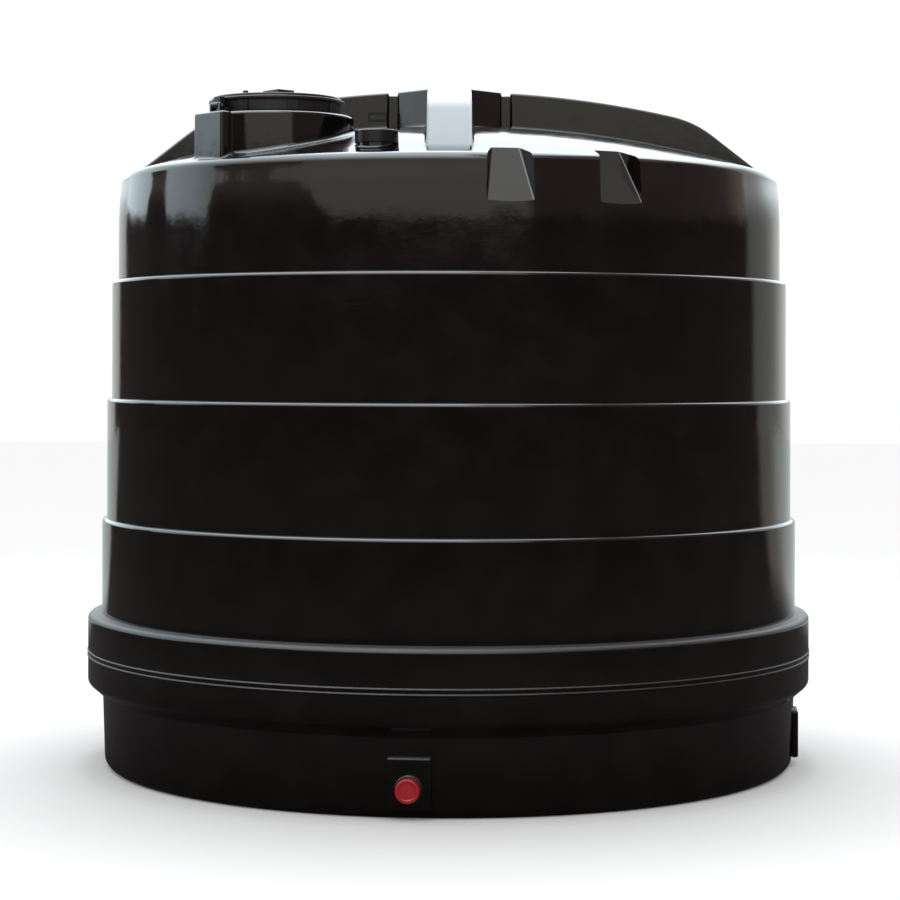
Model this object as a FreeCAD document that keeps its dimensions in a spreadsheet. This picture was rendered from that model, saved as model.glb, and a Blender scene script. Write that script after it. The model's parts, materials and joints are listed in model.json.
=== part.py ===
import FreeCAD, Part
import math
import os
import re
import Sketcher

# Plastic water tank with a stepped wall, a collar at its foot and a domed roof with four ribs
# The origin is on the ground at the middle of the tank, +Z is up and the front looks along -Y
# A bearing is an angle in plan from +X, counter-clockwise seen from above, so the front is 270

sizes = {
    # Moulded skin of the tank
    "skin": 10,
    # Collar, the widest part, and the parting seam that runs round it
    "collar_radius": 1378,
    "collar_flare": 56,
    "collar_foot_round": 60,
    "collar_low_height": 174,
    "seam_height": 27,
    "bead_depth": 3,
    "bead_height": 6,
    "collar_high_height": 138,
    "collar_top_round": 45,
    "collar_rise": 12,
    # Base tub under the collar
    "tub_height": 249,
    "tub_step": 56,
    "tub_draft": 9,
    "foot_round": 40,
    # Stepped wall, from the collar up
    "collar_step": 52,
    "band_one_height": 337,
    "band_one_step": 18,
    "band_two_height": 451,
    "band_two_step": 18,
    "band_three_height": 444,
    "band_three_step": 24,
    "band_four_height": 208,
    "ledge_round": 14,
    "ledge_rise": 3,
    # Shoulder and dome
    "shoulder_draft": 9,
    "shoulder_height": 186,
    "shoulder_round": 48,
    "dome_inset": 107,
    "dome_edge_rise": 31,
    "dome_rise": 161,
    # Hub and ribs of the roof
    "hub_reach": 200,
    "hub_drop": 5,
    "hub_gap": 32,
    "hub_link_width": 74,
    "rib_width": 156,
    "rib_rise": 150,
    "rib_arch_radius": 3925,
    "rib_ramp_run": 242,
    "rib_bend_radius": 400,
    "rib_end_run": 30,
    "rib_end_rise": 18,
    # Rectangular fitting on the near wall of the left rib
    "fitting_length": 70,
    "fitting_height": 35,
    "fitting_depth": 8,
    "fitting_frame": 7,
    "fitting_run": 45,
    "fitting_drop": 119,
    # Manhole
    "manhole_bearing": 228,
    "manhole_inset": 332,
    "mouth_radius": 200,
    "neck_rim": 76,
    "neck_rise": 143,
    "neck_round": 14,
    "hinge_bearing": 221,
    "block_width": 168,
    "block_depth": 27,
    "block_round": 10,
    # Hinged lid of the manhole
    "lid_lift": 5,
    "skirt_lap": 25,
    "lid_lap": 17,
    "lid_edge": 10,
    "lid_rise": 27,
    "lid_top_inset": 137,
    "skirt_wall": 12,
    "skirt_height": 40,
    "lug_count": 8,
    "lug_width": 39,
    "lug_depth": 11,
    "grip_length": 107,
    "grip_width": 88,
    "grip_height": 16,
    "grip_slope": 5,
    "breather_radius": 14,
    "breather_height": 16,
    "breather_reach": 112,
    # Hinge of the lid
    "hinge_inset": 14,
    "hinge_height": 26,
    "pin_radius": 5,
    "pin_play": 0.05,
    "knuckle_radius": 12,
    "knuckle_width": 34,
    "hinge_side_play": 5,
    "ear_width": 8,
    "ear_radius": 11,
    "bracket_thickness": 5,
    # Vent beside the front rib
    "vent_bearing": 256.9,
    "vent_inset": 50,
    "vent_radius": 75,
    "vent_base_radius": 68,
    "vent_rise": 60,
    "vent_cap_height": 44,
    "vent_edge_round": 8,
    # Recesses for a ladder in the shoulder
    "recess_one_bearing": 279.4,
    "recess_two_bearing": 297.7,
    "recess_foot_width": 165,
    "recess_top_width": 99,
    "recess_foot_rise": 30,
    "recess_foot_inset": 4,
    "recess_height": 186,
    "recess_depth": 100,
    "recess_open": 60,
    # Flat pads for outlets on the base tub
    "pad_bearing": 264.4,
    "pad_width": 150,
    "pad_foot": 33,
    "pad_height": 177,
    "pad_proud": 16,
    "pad_round": 12,
    # Outlet on the front pad
    "outlet_height": 105,
    "outlet_bore_radius": 25,
    "outlet_pipe_radius": 31,
    "outlet_flange_radius": 48,
    "outlet_flange_depth": 12,
    "outlet_cap_radius": 41,
    "outlet_cap_depth": 40,
    "outlet_cap_wall": 6,
    "outlet_stub": 22,
}

# Radii and levels that follow from the sizes, each named and worked out once
levels = {
    "tub_radius": "collar_radius - tub_step",
    "foot_radius": "tub_radius - tub_draft",
    "collar_foot": "tub_height + collar_flare",
    "seam_foot": "tub_height + collar_low_height",
    "seam_top": "seam_foot + seam_height",
    "collar_top": "seam_top + collar_high_height",
    "wall_foot": "collar_top + collar_rise",
    "band_one_radius": "collar_radius - collar_step",
    "band_one_top": "wall_foot + band_one_height",
    "band_two_radius": "band_one_radius - band_one_step",
    "band_two_top": "band_one_top + band_two_height",
    "band_three_radius": "band_two_radius - band_two_step",
    "band_three_top": "band_two_top + band_three_height",
    "band_four_radius": "band_three_radius - band_three_step",
    "shoulder_foot": "band_three_top + band_four_height",
    "shoulder_radius": "band_four_radius - shoulder_draft",
    "shoulder_corner": "shoulder_foot + shoulder_height",
    "dome_edge_radius": "shoulder_radius - dome_inset",
    "dome_edge_height": "shoulder_corner + dome_edge_rise",
    "dome_top": "dome_edge_height + dome_rise",
    "dome_arch_radius": "(dome_edge_radius ^ 2 + dome_rise ^ 2) / (2 * dome_rise)",
    "rib_top": "dome_top + rib_rise",
    "rib_start": "hub_reach + hub_gap",
    "rib_end": "dome_edge_radius + rib_end_run",
    "rib_end_height": "dome_edge_height + rib_end_rise",
    "rib_bend": "rib_end - rib_ramp_run",
    "rib_bend_height": "rib_top - rib_arch_radius + sqrt(rib_arch_radius ^ 2 - rib_bend ^ 2)",
    "rib_start_height": "rib_top - rib_arch_radius + sqrt(rib_arch_radius ^ 2 - rib_start ^ 2)",
    "rib_ramp": "atan((rib_bend_height - rib_end_height) / rib_ramp_run)",
    "rib_slope": "asin(rib_bend / rib_arch_radius)",
    "rib_turn": "rib_ramp - rib_slope",
    "hub_top": "rib_top - hub_drop",
    "fitting_reach": "rib_start + fitting_run",
    "fitting_level": "rib_top - fitting_drop",
    "manhole_reach": "shoulder_radius - manhole_inset",
    "manhole_x": "manhole_reach * cos(manhole_bearing)",
    "manhole_y": "manhole_reach * sin(manhole_bearing)",
    "neck_radius": "mouth_radius + neck_rim",
    "neck_top": "dome_edge_height + neck_rise",
    "skirt_radius": "mouth_radius + skirt_lap",
    "skirt_foot": "neck_top + lid_lift",
    "lid_radius": "skirt_radius + lid_lap",
    "disc_foot": "skirt_foot + skirt_height",
    "disc_edge_top": "disc_foot + lid_edge",
    "disc_top": "disc_edge_top + lid_rise",
    "block_reach": "neck_radius + block_depth",
    "hinge_reach": "neck_radius - hinge_inset",
    "pin_level": "neck_top + hinge_height",
    "ear_gap": "knuckle_width + 2 * hinge_side_play",
    "bracket_span": "ear_gap + 2 * ear_width",
    "vent_reach": "dome_edge_radius - vent_inset",
    "vent_top": "dome_edge_height + vent_rise",
    "cap_foot": "vent_top - vent_cap_height",
    "recess_foot": "shoulder_foot + recess_foot_rise",
    "recess_foot_reach": "band_four_radius - recess_foot_inset",
    "recess_top_reach": "recess_foot_reach - recess_depth",
    "recess_splay": "(recess_foot_width - recess_top_width) / (2 * recess_depth)",
    "recess_lean": "recess_depth / recess_height",
    "pad_reach": "tub_radius + pad_proud",
    "outlet_inner_reach": "tub_radius - skin - outlet_stub",
    "outlet_cap_reach": "pad_reach + outlet_flange_depth",
    "outlet_pipe_length": "outlet_cap_reach + outlet_cap_depth - outlet_cap_wall - outlet_inner_reach",
}

doc = FreeCAD.newDocument("WaterTank")
sheet = doc.addObject("Spreadsheet::Sheet", "Sizes")
for row, (name, number) in enumerate(sizes.items(), 1):
    sheet.set("A%d" % row, name)
    sheet.set("B%d" % row, str(number))
    sheet.setAlias("B%d" % row, name)
doc.recompute()

Vector = FreeCAD.Vector
Z_AXIS = Vector(0, 0, 1)
pieces = []


def bound(text):
    # Gives each named size or level in a formula the name of its sheet
    def owned(word):
        name = word.group()
        return "Sizes." + name if name in sizes else "Levels." + name if name in levels else name
    return re.sub("[a-z_]+", owned, str(text))


levels_sheet = doc.addObject("Spreadsheet::Sheet", "Levels")
for row, (name, formula) in enumerate(levels.items(), 1):
    levels_sheet.set("A%d" % row, name)
    levels_sheet.setAlias("B%d" % row, name)
    levels_sheet.set("B%d" % row, "=" + bound(formula))
workings = doc.addObject("Spreadsheet::Sheet", "Workings")
doc.recompute()


def value(text):
    # Works a formula of named sizes out to a number
    workings.set("A1", "=" + bound(text))
    workings.recompute()
    return float(workings.get("A1"))


def bind(thing, **formulas):
    for prop, text in formulas.items():
        thing.setExpression(prop, bound(text))
    return thing


def place(thing, bearing="0", reach="0", height="0"):
    # Stands a piece at a bearing and a reach from the tank's axis, its own +X looking outwards
    thing.Placement = FreeCAD.Placement(Vector(0, 0, 0), FreeCAD.Rotation(Z_AXIS, 10))
    thing.setExpression("Placement.Rotation.Angle", bound(bearing))
    thing.setExpression("Placement.Base.x", bound("(%s) * cos(%s)" % (reach, bearing)))
    thing.setExpression("Placement.Base.y", bound("(%s) * sin(%s)" % (reach, bearing)))
    thing.setExpression("Placement.Base.z", bound(height))
    return thing


def piece(thing, label):
    thing.Label = label
    pieces.append(thing)
    return thing


def origin_plane(body, role):
    return next(item for item in body.Origin.OriginFeatures if item.Role == role)


def unit(vector):
    return vector * (1 / vector.Length)


def sketch_on(body, role, outlines):
    # Draws closed outlines, counter-clockwise, each corner at its own two formulas
    # A corner can be rounded, or start an arch, which is an arc to the next corner
    sketch = body.newObject("Sketcher::SketchObject", body.Name + "Sketch")
    sketch.AttachmentSupport = [(origin_plane(body, role), "")]
    sketch.MapMode = "FlatFace"
    for outline in outlines:
        draw_outline(sketch, outline)
    return sketch


def hold(sketch, kind, geometry, text):
    # Ties a radius in a sketch to its formula
    number = sketch.addConstraint(Sketcher.Constraint(kind, geometry, value(text)))
    sketch.setExpression("Constraints[%d]" % number, bound(text))


def pin_down(sketch, geometry, point):
    # Ties the start of a line or arc, or a point, to its two formulas
    for kind, axis, text in (("DistanceX", -2, point[0]), ("DistanceY", -1, point[1])):
        if text == "0":
            sketch.addConstraint(Sketcher.Constraint("PointOnObject", geometry, 1, axis))
            continue
        number = sketch.addConstraint(Sketcher.Constraint(kind, -1, 1, geometry, 1, value(text)))
        sketch.setExpression("Constraints[%d]" % number, bound(text))


def draw_outline(sketch, outline):
    count = len(outline)
    corners = [Vector(value(point[0]), value(point[1]), 0) for point in outline]
    entries = list(corners)
    exits = list(corners)
    arcs = {}
    for index, point in enumerate(outline):
        if "round" in point:
            radius = value(point[3])
            corner = corners[index]
            back = unit(corners[index - 1] - corner)
            ahead = unit(corners[(index + 1) % count] - corner)
            half = back.getAngle(ahead) / 2
            entries[index] = corner + back * (radius / math.tan(half))
            exits[index] = corner + ahead * (radius / math.tan(half))
            centre = corner + unit(back + ahead) * (radius / math.sin(half))
            turns_left = back.cross(ahead).z < 0
            ends = (entries[index], exits[index]) if turns_left else (exits[index], entries[index])
            arcs[index] = (arc_about(centre, radius, *ends), turns_left)
    edges = []
    for index, point in enumerate(outline):
        start = exits[index]
        end = entries[(index + 1) % count]
        if "arch" in point:
            edges.append(sketch.addGeometry(bulged(start, end, value(point[3]))))
        else:
            edges.append(sketch.addGeometry(Part.LineSegment(start, end)))
    for index, point in enumerate(outline):
        before = edges[index - 1]
        after = edges[index]
        if index in arcs:
            shape, turns_left = arcs[index]
            arc = sketch.addGeometry(shape)
            spot = sketch.addGeometry(Part.Point(corners[index]), True)
            first, last = (1, 2) if turns_left else (2, 1)
            sketch.addConstraint(Sketcher.Constraint("Tangent", before, 2, arc, first))
            sketch.addConstraint(Sketcher.Constraint("Tangent", after, 1, arc, last))
            sketch.addConstraint(Sketcher.Constraint("PointOnObject", spot, 1, before))
            sketch.addConstraint(Sketcher.Constraint("PointOnObject", spot, 1, after))
            hold(sketch, "Radius", arc, point[3])
            pin_down(sketch, spot, point)
            continue
        sketch.addConstraint(Sketcher.Constraint("Coincident", before, 2, after, 1))
        pin_down(sketch, after, point)
        if "arch" in point:
            hold(sketch, "Radius", after, point[3])


def arc_about(centre, radius, start, end):
    from_angle = math.atan2(start.y - centre.y, start.x - centre.x)
    to_angle = math.atan2(end.y - centre.y, end.x - centre.x)
    return Part.ArcOfCircle(Part.Circle(centre, Z_AXIS, radius), from_angle, to_angle)


def bulged(start, end, radius):
    # Arc of a given radius, counter-clockwise from start to end
    chord = end - start
    rise = math.sqrt(radius * radius - chord.Length * chord.Length / 4)
    centre = (start + end) * 0.5 + Vector(-chord.y, chord.x, 0) * (rise / chord.Length)
    return arc_about(centre, radius, start, end)


def turned(name, outline):
    # Revolves an outline about the vertical axis
    body = doc.addObject("PartDesign::Body", name)
    sketch = sketch_on(body, "XZ_Plane", [outline])
    turn = body.newObject("PartDesign::Revolution", name + "Turn")
    turn.Profile = (sketch, [""])
    turn.ReferenceAxis = (sketch, ["V_Axis"])
    turn.Angle = 360
    return body


def padded(name, role, outlines, length, both_ways=False):
    # Pads outlines off a plane of the body, or to both sides of it
    body = doc.addObject("PartDesign::Body", name)
    sketch = sketch_on(body, role, outlines)
    pad = body.newObject("PartDesign::Pad", name + "Pad")
    pad.Profile = (sketch, [""])
    if both_ways:
        pad.SideType = "Symmetric"
    bind(pad, Length=length)
    return body


def cylinder(name, radius, height):
    solid = doc.addObject("Part::Cylinder", name)
    return bind(solid, Radius=radius, Height=height)


def joined(name, *solids):
    union = doc.addObject("Part::MultiFuse", name)
    union.Shapes = list(solids)
    return union


def shared(name, base, *others):
    result = base
    for number, other in enumerate(others):
        step = doc.addObject("Part::Common", "%s%d" % (name, number))
        step.Base = result
        step.Tool = other
        result = step
    return result


def cut(name, base, *tools):
    result = base
    for number, tool in enumerate(tools):
        step = doc.addObject("Part::Cut", "%s%d" % (name, number))
        step.Base = result
        step.Tool = tool
        result = step
    return result


# Base tub with its rounded foot

floor = piece(cylinder("BaseFloor", "foot_radius - foot_round", "skin"), "base_floor")

tub_skin = turned("BaseWall", [
    ("foot_radius - foot_round", "0"),
    ("foot_radius", "0", "round", "foot_round"),
    ("tub_radius", "tub_height"),
    ("tub_radius - skin", "tub_height"),
    ("foot_radius - skin", "skin", "round", "foot_round - skin"),
    ("foot_radius - foot_round", "skin"),
])

outlet_hole = cylinder("OutletHole", "outlet_pipe_radius", "pad_reach")
outlet_hole.Placement = FreeCAD.Placement(Vector(0, 0, 0), FreeCAD.Rotation(Vector(0, 1, 0), 90))


def outward(thing, bearing, reach, height):
    # Lays a piece's own axis outwards at a bearing, with its foot at a reach from the tank's axis
    turn = "create(<<rotation>>; create(<<vector>>; 0; 0; 1); %s)" % bound(bearing)
    lay = "create(<<rotation>>; create(<<vector>>; 0; 1; 0); 90)"
    spot = "create(<<vector>>; (%s) * cos(%s); (%s) * sin(%s); %s)" % (
        bound(reach), bound(bearing), bound(reach), bound(bearing), bound(height))
    thing.setExpression("Placement", "create(<<placement>>; %s; %s * %s)" % (spot, turn, lay))
    return thing


outward(outlet_hole, "pad_bearing", "0", "outlet_height")
piece(cut("BaseWallCut", tub_skin, outlet_hole), "base_wall")

# Collar in two halves that meet at the parting seam

collar_low = turned("CollarLower", [
    ("tub_radius", "tub_height"),
    ("collar_radius", "collar_foot", "round", "collar_foot_round"),
    ("collar_radius", "seam_foot"),
    ("collar_radius - skin", "seam_foot"),
    ("collar_radius - skin", "collar_foot", "round", "collar_foot_round - skin"),
    ("tub_radius - skin", "tub_height"),
])
piece(collar_low, "collar_lower")

piece(turned("PartingSeam", [
    ("collar_radius - skin", "seam_foot"),
    ("collar_radius + bead_depth", "seam_foot"),
    ("collar_radius + bead_depth", "seam_foot + bead_height"),
    ("collar_radius", "seam_foot + bead_height"),
    ("collar_radius", "seam_top - bead_height"),
    ("collar_radius + bead_depth", "seam_top - bead_height"),
    ("collar_radius + bead_depth", "seam_top"),
    ("collar_radius - skin", "seam_top"),
]), "parting_seam")

piece(turned("CollarUpper", [
    ("collar_radius - skin", "seam_top"),
    ("collar_radius", "seam_top"),
    ("collar_radius", "collar_top", "round", "collar_top_round"),
    ("band_one_radius", "wall_foot"),
    ("band_one_radius - skin", "wall_foot"),
    ("band_one_radius - skin", "wall_foot - skin"),
    ("collar_radius - skin", "collar_top - skin", "round", "collar_top_round - skin"),
]), "collar_upper")

# Wall bands, each with the ledge that steps in to the next


def wall_band(name, label, radius, foot, top, next_radius):
    band = turned(name, [
        (radius, foot),
        (radius, top + " - ledge_rise", "round", "ledge_round"),
        (next_radius, top),
        (next_radius + " - skin", top),
        (next_radius + " - skin", top + " - skin"),
        (radius + " - skin", top + " - ledge_rise - skin"),
        (radius + " - skin", foot),
    ])
    return piece(band, label)


wall_band("WallBandOne", "wall_band_1", "band_one_radius", "wall_foot", "band_one_top", "band_two_radius")
wall_band("WallBandTwo", "wall_band_2", "band_two_radius", "band_one_top", "band_two_top", "band_three_radius")
wall_band("WallBandThree", "wall_band_3", "band_three_radius", "band_two_top", "band_three_top",
          "band_four_radius")
piece(turned("WallBandFour", [
    ("band_four_radius", "band_three_top"),
    ("band_four_radius", "shoulder_foot"),
    ("band_four_radius - skin", "shoulder_foot"),
    ("band_four_radius - skin", "band_three_top"),
]), "wall_band_4")

# Everything under the roof's outer face, and the space inside its skin


def roof_solid(name, drop):
    inset = " - " + drop
    return turned(name, [
        ("0", "shoulder_foot"),
        ("band_four_radius" + inset, "shoulder_foot"),
        ("shoulder_radius" + inset, "shoulder_corner" + inset, "round", "shoulder_round" + inset),
        ("dome_edge_radius", "dome_edge_height" + inset, "arch", "dome_arch_radius"),
        ("0", "dome_top" + inset),
    ])


roof_core = roof_solid("RoofCore", "0")
roof_space = roof_solid("RoofSpace", "skin")

neck_space = place(cylinder("NeckSpace", "neck_radius - skin", "neck_top"), "manhole_bearing", "manhole_reach")

# Recesses for a ladder, cut from the shoulder and closed by a lining of their own


def recess_tool(name, bearing, grow):
    # Space over a leaning back, between two splayed sides, grown on its back and sides
    side = " + %s * sqrt(1 + recess_splay ^ 2)" % grow
    inner_half = "(recess_top_width / 2 - recess_splay * recess_depth / 2%s)" % side
    outer_half = "(recess_foot_width / 2 + recess_splay * recess_open%s)" % side
    plan = padded(name + "Plan", "XY_Plane", [[
        ("recess_top_reach - recess_depth / 2", "-" + inner_half),
        ("recess_foot_reach + recess_open", "-" + outer_half),
        ("recess_foot_reach + recess_open", outer_half),
        ("recess_top_reach - recess_depth / 2", inner_half),
    ]], "rib_top - shoulder_foot")
    place(plan, bearing, "0", "shoulder_foot")
    back = " - %s * sqrt(1 + recess_lean ^ 2)" % grow
    side_view = padded(name + "Side", "XZ_Plane", [[
        ("recess_foot_reach + recess_open", "recess_foot - (recess_open - (0%s)) / recess_lean" % back),
        ("recess_foot_reach + recess_open", "recess_foot + recess_height + recess_open"),
        ("recess_top_reach - recess_open * recess_lean" + back,
         "recess_foot + recess_height + recess_open"),
    ]], "2 * recess_foot_width", both_ways=True)
    place(side_view, bearing)
    return shared(name, plan, side_view)


recess_tools = []
for number, bearing in enumerate(("recess_one_bearing", "recess_two_bearing"), 1):
    hollow = recess_tool("RecessHollow%d" % number, bearing, "0")
    lining_tool = recess_tool("RecessLiningTool%d" % number, bearing, "skin")
    lining = shared("RecessLiningBlock%d" % number, lining_tool, roof_core)
    piece(cut("RecessLining%d" % number, lining, hollow), "ladder_recess_%d" % number)
    recess_tools.append(lining_tool)

dome_reach = cylinder("DomeReach", "dome_edge_radius", "rib_top")
piece(cut("Shoulder", roof_core, dome_reach, neck_space, *recess_tools, roof_space), "shoulder")

# Hub where the ribs meet: an octagon with a short link to each rib

hub_facet = "rib_width / 2"
hub_corners = [
    ("hub_reach", hub_facet),
    (hub_facet, "hub_reach"),
    ("hub_link_width / 2", "hub_reach"),
    ("hub_link_width / 2", "rib_start"),
]


def quarter_turned(point, quarter):
    # Turns a corner's two formulas by quarter turns
    across, along = point
    for _ in range(quarter):
        across, along = "-(%s)" % along, across
    return across, along


def cross_outline(inset):
    # Plan of the hub and its links, brought in by an inset all round
    corners = []
    for quarter in range(4):
        for across, along in (
                ("rib_start - " + inset, "-hub_link_width / 2 + " + inset),
                ("rib_start - " + inset, "hub_link_width / 2 - " + inset),
                ("hub_reach - " + inset, "hub_link_width / 2 - " + inset),
                ("hub_reach - " + inset, "%s - %s * tan(22.5)" % (hub_facet, inset)),
                ("%s - %s * tan(22.5)" % (hub_facet, inset), "hub_reach - " + inset),
                ("hub_link_width / 2 - " + inset, "hub_reach - " + inset)):
            corners.append(quarter_turned((across, along), quarter))
    return corners


hub_block = padded("HubBlock", "XY_Plane", [cross_outline("0")], "hub_top - dome_edge_height")
place(hub_block, height="dome_edge_height")
hub_space = padded("HubSpace", "XY_Plane", [cross_outline("skin")], "hub_top - dome_edge_height - skin")
place(hub_space, height="dome_edge_height")
piece(cut("Hub", hub_block, hub_space, roof_core), "roof_hub")

# Ribs of the roof, hollow mouldings with an arched top and a ramp at the end


def rib_block(name, inset):
    # Solid of a rib's outside, or of its inside when brought in by the skin
    # Its top runs up the ramp, over a rounded bend and along the arch
    bend = "rib_bend - %s * tan(rib_ramp / 2)" % inset
    bend_level = "rib_bend_height - " + inset
    run = "(rib_bend_radius - %s) * tan(rib_turn / 2)" % inset
    return padded(name, "XZ_Plane", [[
        ("rib_start + " + inset, "shoulder_foot"),
        ("rib_end - " + inset, "shoulder_foot"),
        ("rib_end - " + inset, "rib_end_height - %s * tan(45 deg - rib_ramp / 2)" % inset),
        ("%s + %s * cos(rib_ramp)" % (bend, run), "%s - %s * sin(rib_ramp)" % (bend_level, run),
         "arch", "rib_bend_radius - " + inset),
        ("%s - %s * cos(rib_slope)" % (bend, run), "%s + %s * sin(rib_slope)" % (bend_level, run),
         "arch", "rib_arch_radius"),
        ("rib_start + " + inset, "rib_start_height - " + inset),
    ]], "rib_width - 2 * " + inset, both_ways=True)


rib_labels = ("rib_right", "rib_back", "rib_left", "rib_front")
for number, label in enumerate(rib_labels):
    block = place(rib_block("RibBlock%d" % number, "0"), "90 * %d" % number)
    space = place(rib_block("RibSpace%d" % number, "skin"), "90 * %d" % number)
    piece(cut("Rib%d" % number, block, space, roof_core), label)

# Roof panels between the ribs

panel_labels = ("roof_panel_back_right", "roof_panel_back_left", "roof_panel_front_left",
                "roof_panel_front_right")
for number, label in enumerate(panel_labels):
    corner = doc.addObject("Part::Box", "PanelCorner%d" % number)
    edge = "rib_width / 2 - skin"
    bind(corner, Length="dome_edge_radius", Width="dome_edge_radius", Height="rib_top")
    turn = "create(<<rotation>>; create(<<vector>>; 0; 0; 1); 90 * %d)" % number
    shift = "create(<<vector>>; %s; %s; 0)" % (bound(edge), bound(edge))
    corner.setExpression("Placement", "create(<<placement>>; create(<<vector>>; 0; 0; 0); %s)"
                         " * create(<<placement>>; %s; create(<<rotation>>; 0; 0; 0))" % (turn, shift))
    panel = shared("Panel%d" % number, corner, dome_reach, roof_core)
    holes = [roof_space, hub_space]
    if label == "roof_panel_front_left":
        holes.append(neck_space)
    if label == "roof_panel_front_right":
        holes.extend(recess_tools)
    piece(cut("PanelCut%d" % number, panel, *holes), label)

# Manhole neck with its flat rim, and the block behind it that carries the hinge

at_manhole = ("manhole_bearing", "manhole_reach")


def over_manhole(thing, height="0", turn="hinge_bearing"):
    # Stands a piece over the middle of the manhole, its own +X towards the hinge
    place(thing, *at_manhole, height)
    return bind(thing, **{"Placement.Rotation.Angle": turn})


neck_tube = turned("NeckTube", [
    ("neck_radius - skin", "shoulder_foot"),
    ("neck_radius", "shoulder_foot"),
    ("neck_radius", "neck_top", "round", "neck_round"),
    ("mouth_radius", "neck_top"),
    ("mouth_radius", "neck_top - skin"),
    ("neck_radius - skin", "neck_top - skin"),
])
place(neck_tube, *at_manhole)
piece(cut("ManholeNeck", neck_tube, roof_core), "manhole_neck")

block_block = padded("HingeBlockPad", "XY_Plane", [[
    ("0", "-block_width / 2"),
    ("block_reach", "-block_width / 2", "round", "block_round"),
    ("block_reach", "block_width / 2", "round", "block_round"),
    ("0", "block_width / 2"),
]], "neck_top - shoulder_foot - skin")
over_manhole(block_block, "shoulder_foot + skin")
neck_bulk = place(cylinder("NeckBulk", "neck_radius", "neck_top"), *at_manhole)
piece(cut("HingeBlock", block_block, neck_bulk, roof_core), "hinge_block")

# Lid of the manhole: a disc with a raised top on a skirt with lugs, a grip and a breather

disc = turned("LidDisc", [
    ("0", "disc_foot"),
    ("lid_radius", "disc_foot"),
    ("lid_radius", "disc_edge_top"),
    ("lid_radius - lid_top_inset", "disc_top"),
    ("0", "disc_top"),
])
piece(place(disc, *at_manhole), "lid_disc")

skirt = turned("LidSkirt", [
    ("skirt_radius - skirt_wall", "skirt_foot"),
    ("skirt_radius", "skirt_foot"),
    ("skirt_radius", "disc_foot"),
    ("skirt_radius - skirt_wall", "disc_foot"),
])
piece(place(skirt, *at_manhole), "lid_skirt")

lug_block = padded("LidLugBlock", "XY_Plane", [[
    ("0", "-lug_width / 2"),
    ("skirt_radius + lug_depth", "-lug_width / 2"),
    ("skirt_radius + lug_depth", "lug_width / 2"),
    ("0", "lug_width / 2"),
]], "skirt_height")
doc.recompute()
lug_ring = lug_block.newObject("PartDesign::PolarPattern", "LidLugRing")
lug_ring.Originals = [lug_block.Tip]
lug_ring.Axis = (origin_plane(lug_block, "Z_Axis"), [""])
bind(lug_ring, Occurrences="lug_count")
lug_block.Tip = lug_ring
over_manhole(lug_block, "skirt_foot", "hinge_bearing + 180 / lug_count")
skirt_bulk = place(cylinder("SkirtBulk", "skirt_radius", "rib_top"), *at_manhole)
piece(cut("LidLugs", lug_block, skirt_bulk), "lid_lugs")

grip_bar = padded("LidGrip", "YZ_Plane", [[
    ("-grip_length / 2", "disc_edge_top"),
    ("grip_length / 2", "disc_edge_top"),
    ("grip_length / 2 - grip_slope", "disc_top + grip_height"),
    ("-grip_length / 2 + grip_slope", "disc_top + grip_height"),
]], "grip_width", both_ways=True)
over_manhole(grip_bar)
piece(cut("LidGripCut", grip_bar, disc), "lid_grip")

breather = cylinder("LidBreather", "breather_radius", "breather_height + lid_rise")
place(breather, *at_manhole, "disc_edge_top")
bind(breather, **{"Placement.Base.x": "manhole_x - breather_reach"})
piece(cut("LidBreatherCut", breather, disc), "lid_breather")

# Hinge: a bracket with two ears on the block, a pin, and the lid's arm with its knuckle

ear_foot = padded("HingeEarFoot", "XZ_Plane", [[
    ("hinge_reach - ear_radius", "neck_top"),
    ("hinge_reach + ear_radius", "neck_top"),
    ("hinge_reach + ear_radius", "pin_level"),
    ("hinge_reach - ear_radius", "pin_level"),
]], "bracket_span", both_ways=True)
over_manhole(ear_foot)
ear_slot = padded("EarSlot", "XZ_Plane", [[
    ("hinge_reach - 2 * ear_radius", "neck_top + bracket_thickness"),
    ("hinge_reach + 2 * ear_radius", "neck_top + bracket_thickness"),
    ("hinge_reach + 2 * ear_radius", "pin_level + 2 * ear_radius"),
    ("hinge_reach - 2 * ear_radius", "pin_level + 2 * ear_radius"),
]], "ear_gap", both_ways=True)
over_manhole(ear_slot)


def crosswise(name, radius, length):
    # Cylinder along the hinge axis
    solid = cylinder(name, radius, length)
    turn = "create(<<rotation>>; create(<<vector>>; 0; 0; 1); %s)" % bound("hinge_bearing")
    lay = "create(<<rotation>>; create(<<vector>>; 1; 0; 0); 90)"
    half = "(%s) / 2" % length
    spot = "create(<<vector>>; %s; %s; %s)" % (
        bound("manhole_x + hinge_reach * cos(hinge_bearing) - %s * sin(hinge_bearing)" % half),
        bound("manhole_y + hinge_reach * sin(hinge_bearing) + %s * cos(hinge_bearing)" % half),
        bound("pin_level"))
    solid.setExpression("Placement", "create(<<placement>>; %s; %s * %s)" % (spot, turn, lay))
    return solid


pin = piece(crosswise("HingePin", "pin_radius", "bracket_span"), "hinge_pin")
pin_bore = crosswise("HingePinBore", "pin_radius + pin_play", "bracket_span + 2 * skin")
ears = joined("HingeEars", ear_foot, crosswise("HingeEarTop", "ear_radius", "bracket_span"))
piece(cut("HingeBracket", ears, ear_slot, pin), "hinge_bracket")

knuckle = crosswise("LidKnuckle", "knuckle_radius", "knuckle_width")
arm = padded("LidArm", "XZ_Plane", [[
    ("skirt_radius - skirt_wall", "pin_level"),
    ("hinge_reach", "pin_level"),
    ("hinge_reach", "disc_edge_top"),
    ("skirt_radius - skirt_wall", "disc_edge_top"),
]], "knuckle_width", both_ways=True)
over_manhole(arm)
piece(cut("LidArmCut", joined("LidArmBlock", arm, knuckle), skirt_bulk, disc, pin_bore), "lid_arm")

# Vent on the roof beside the front rib

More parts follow.
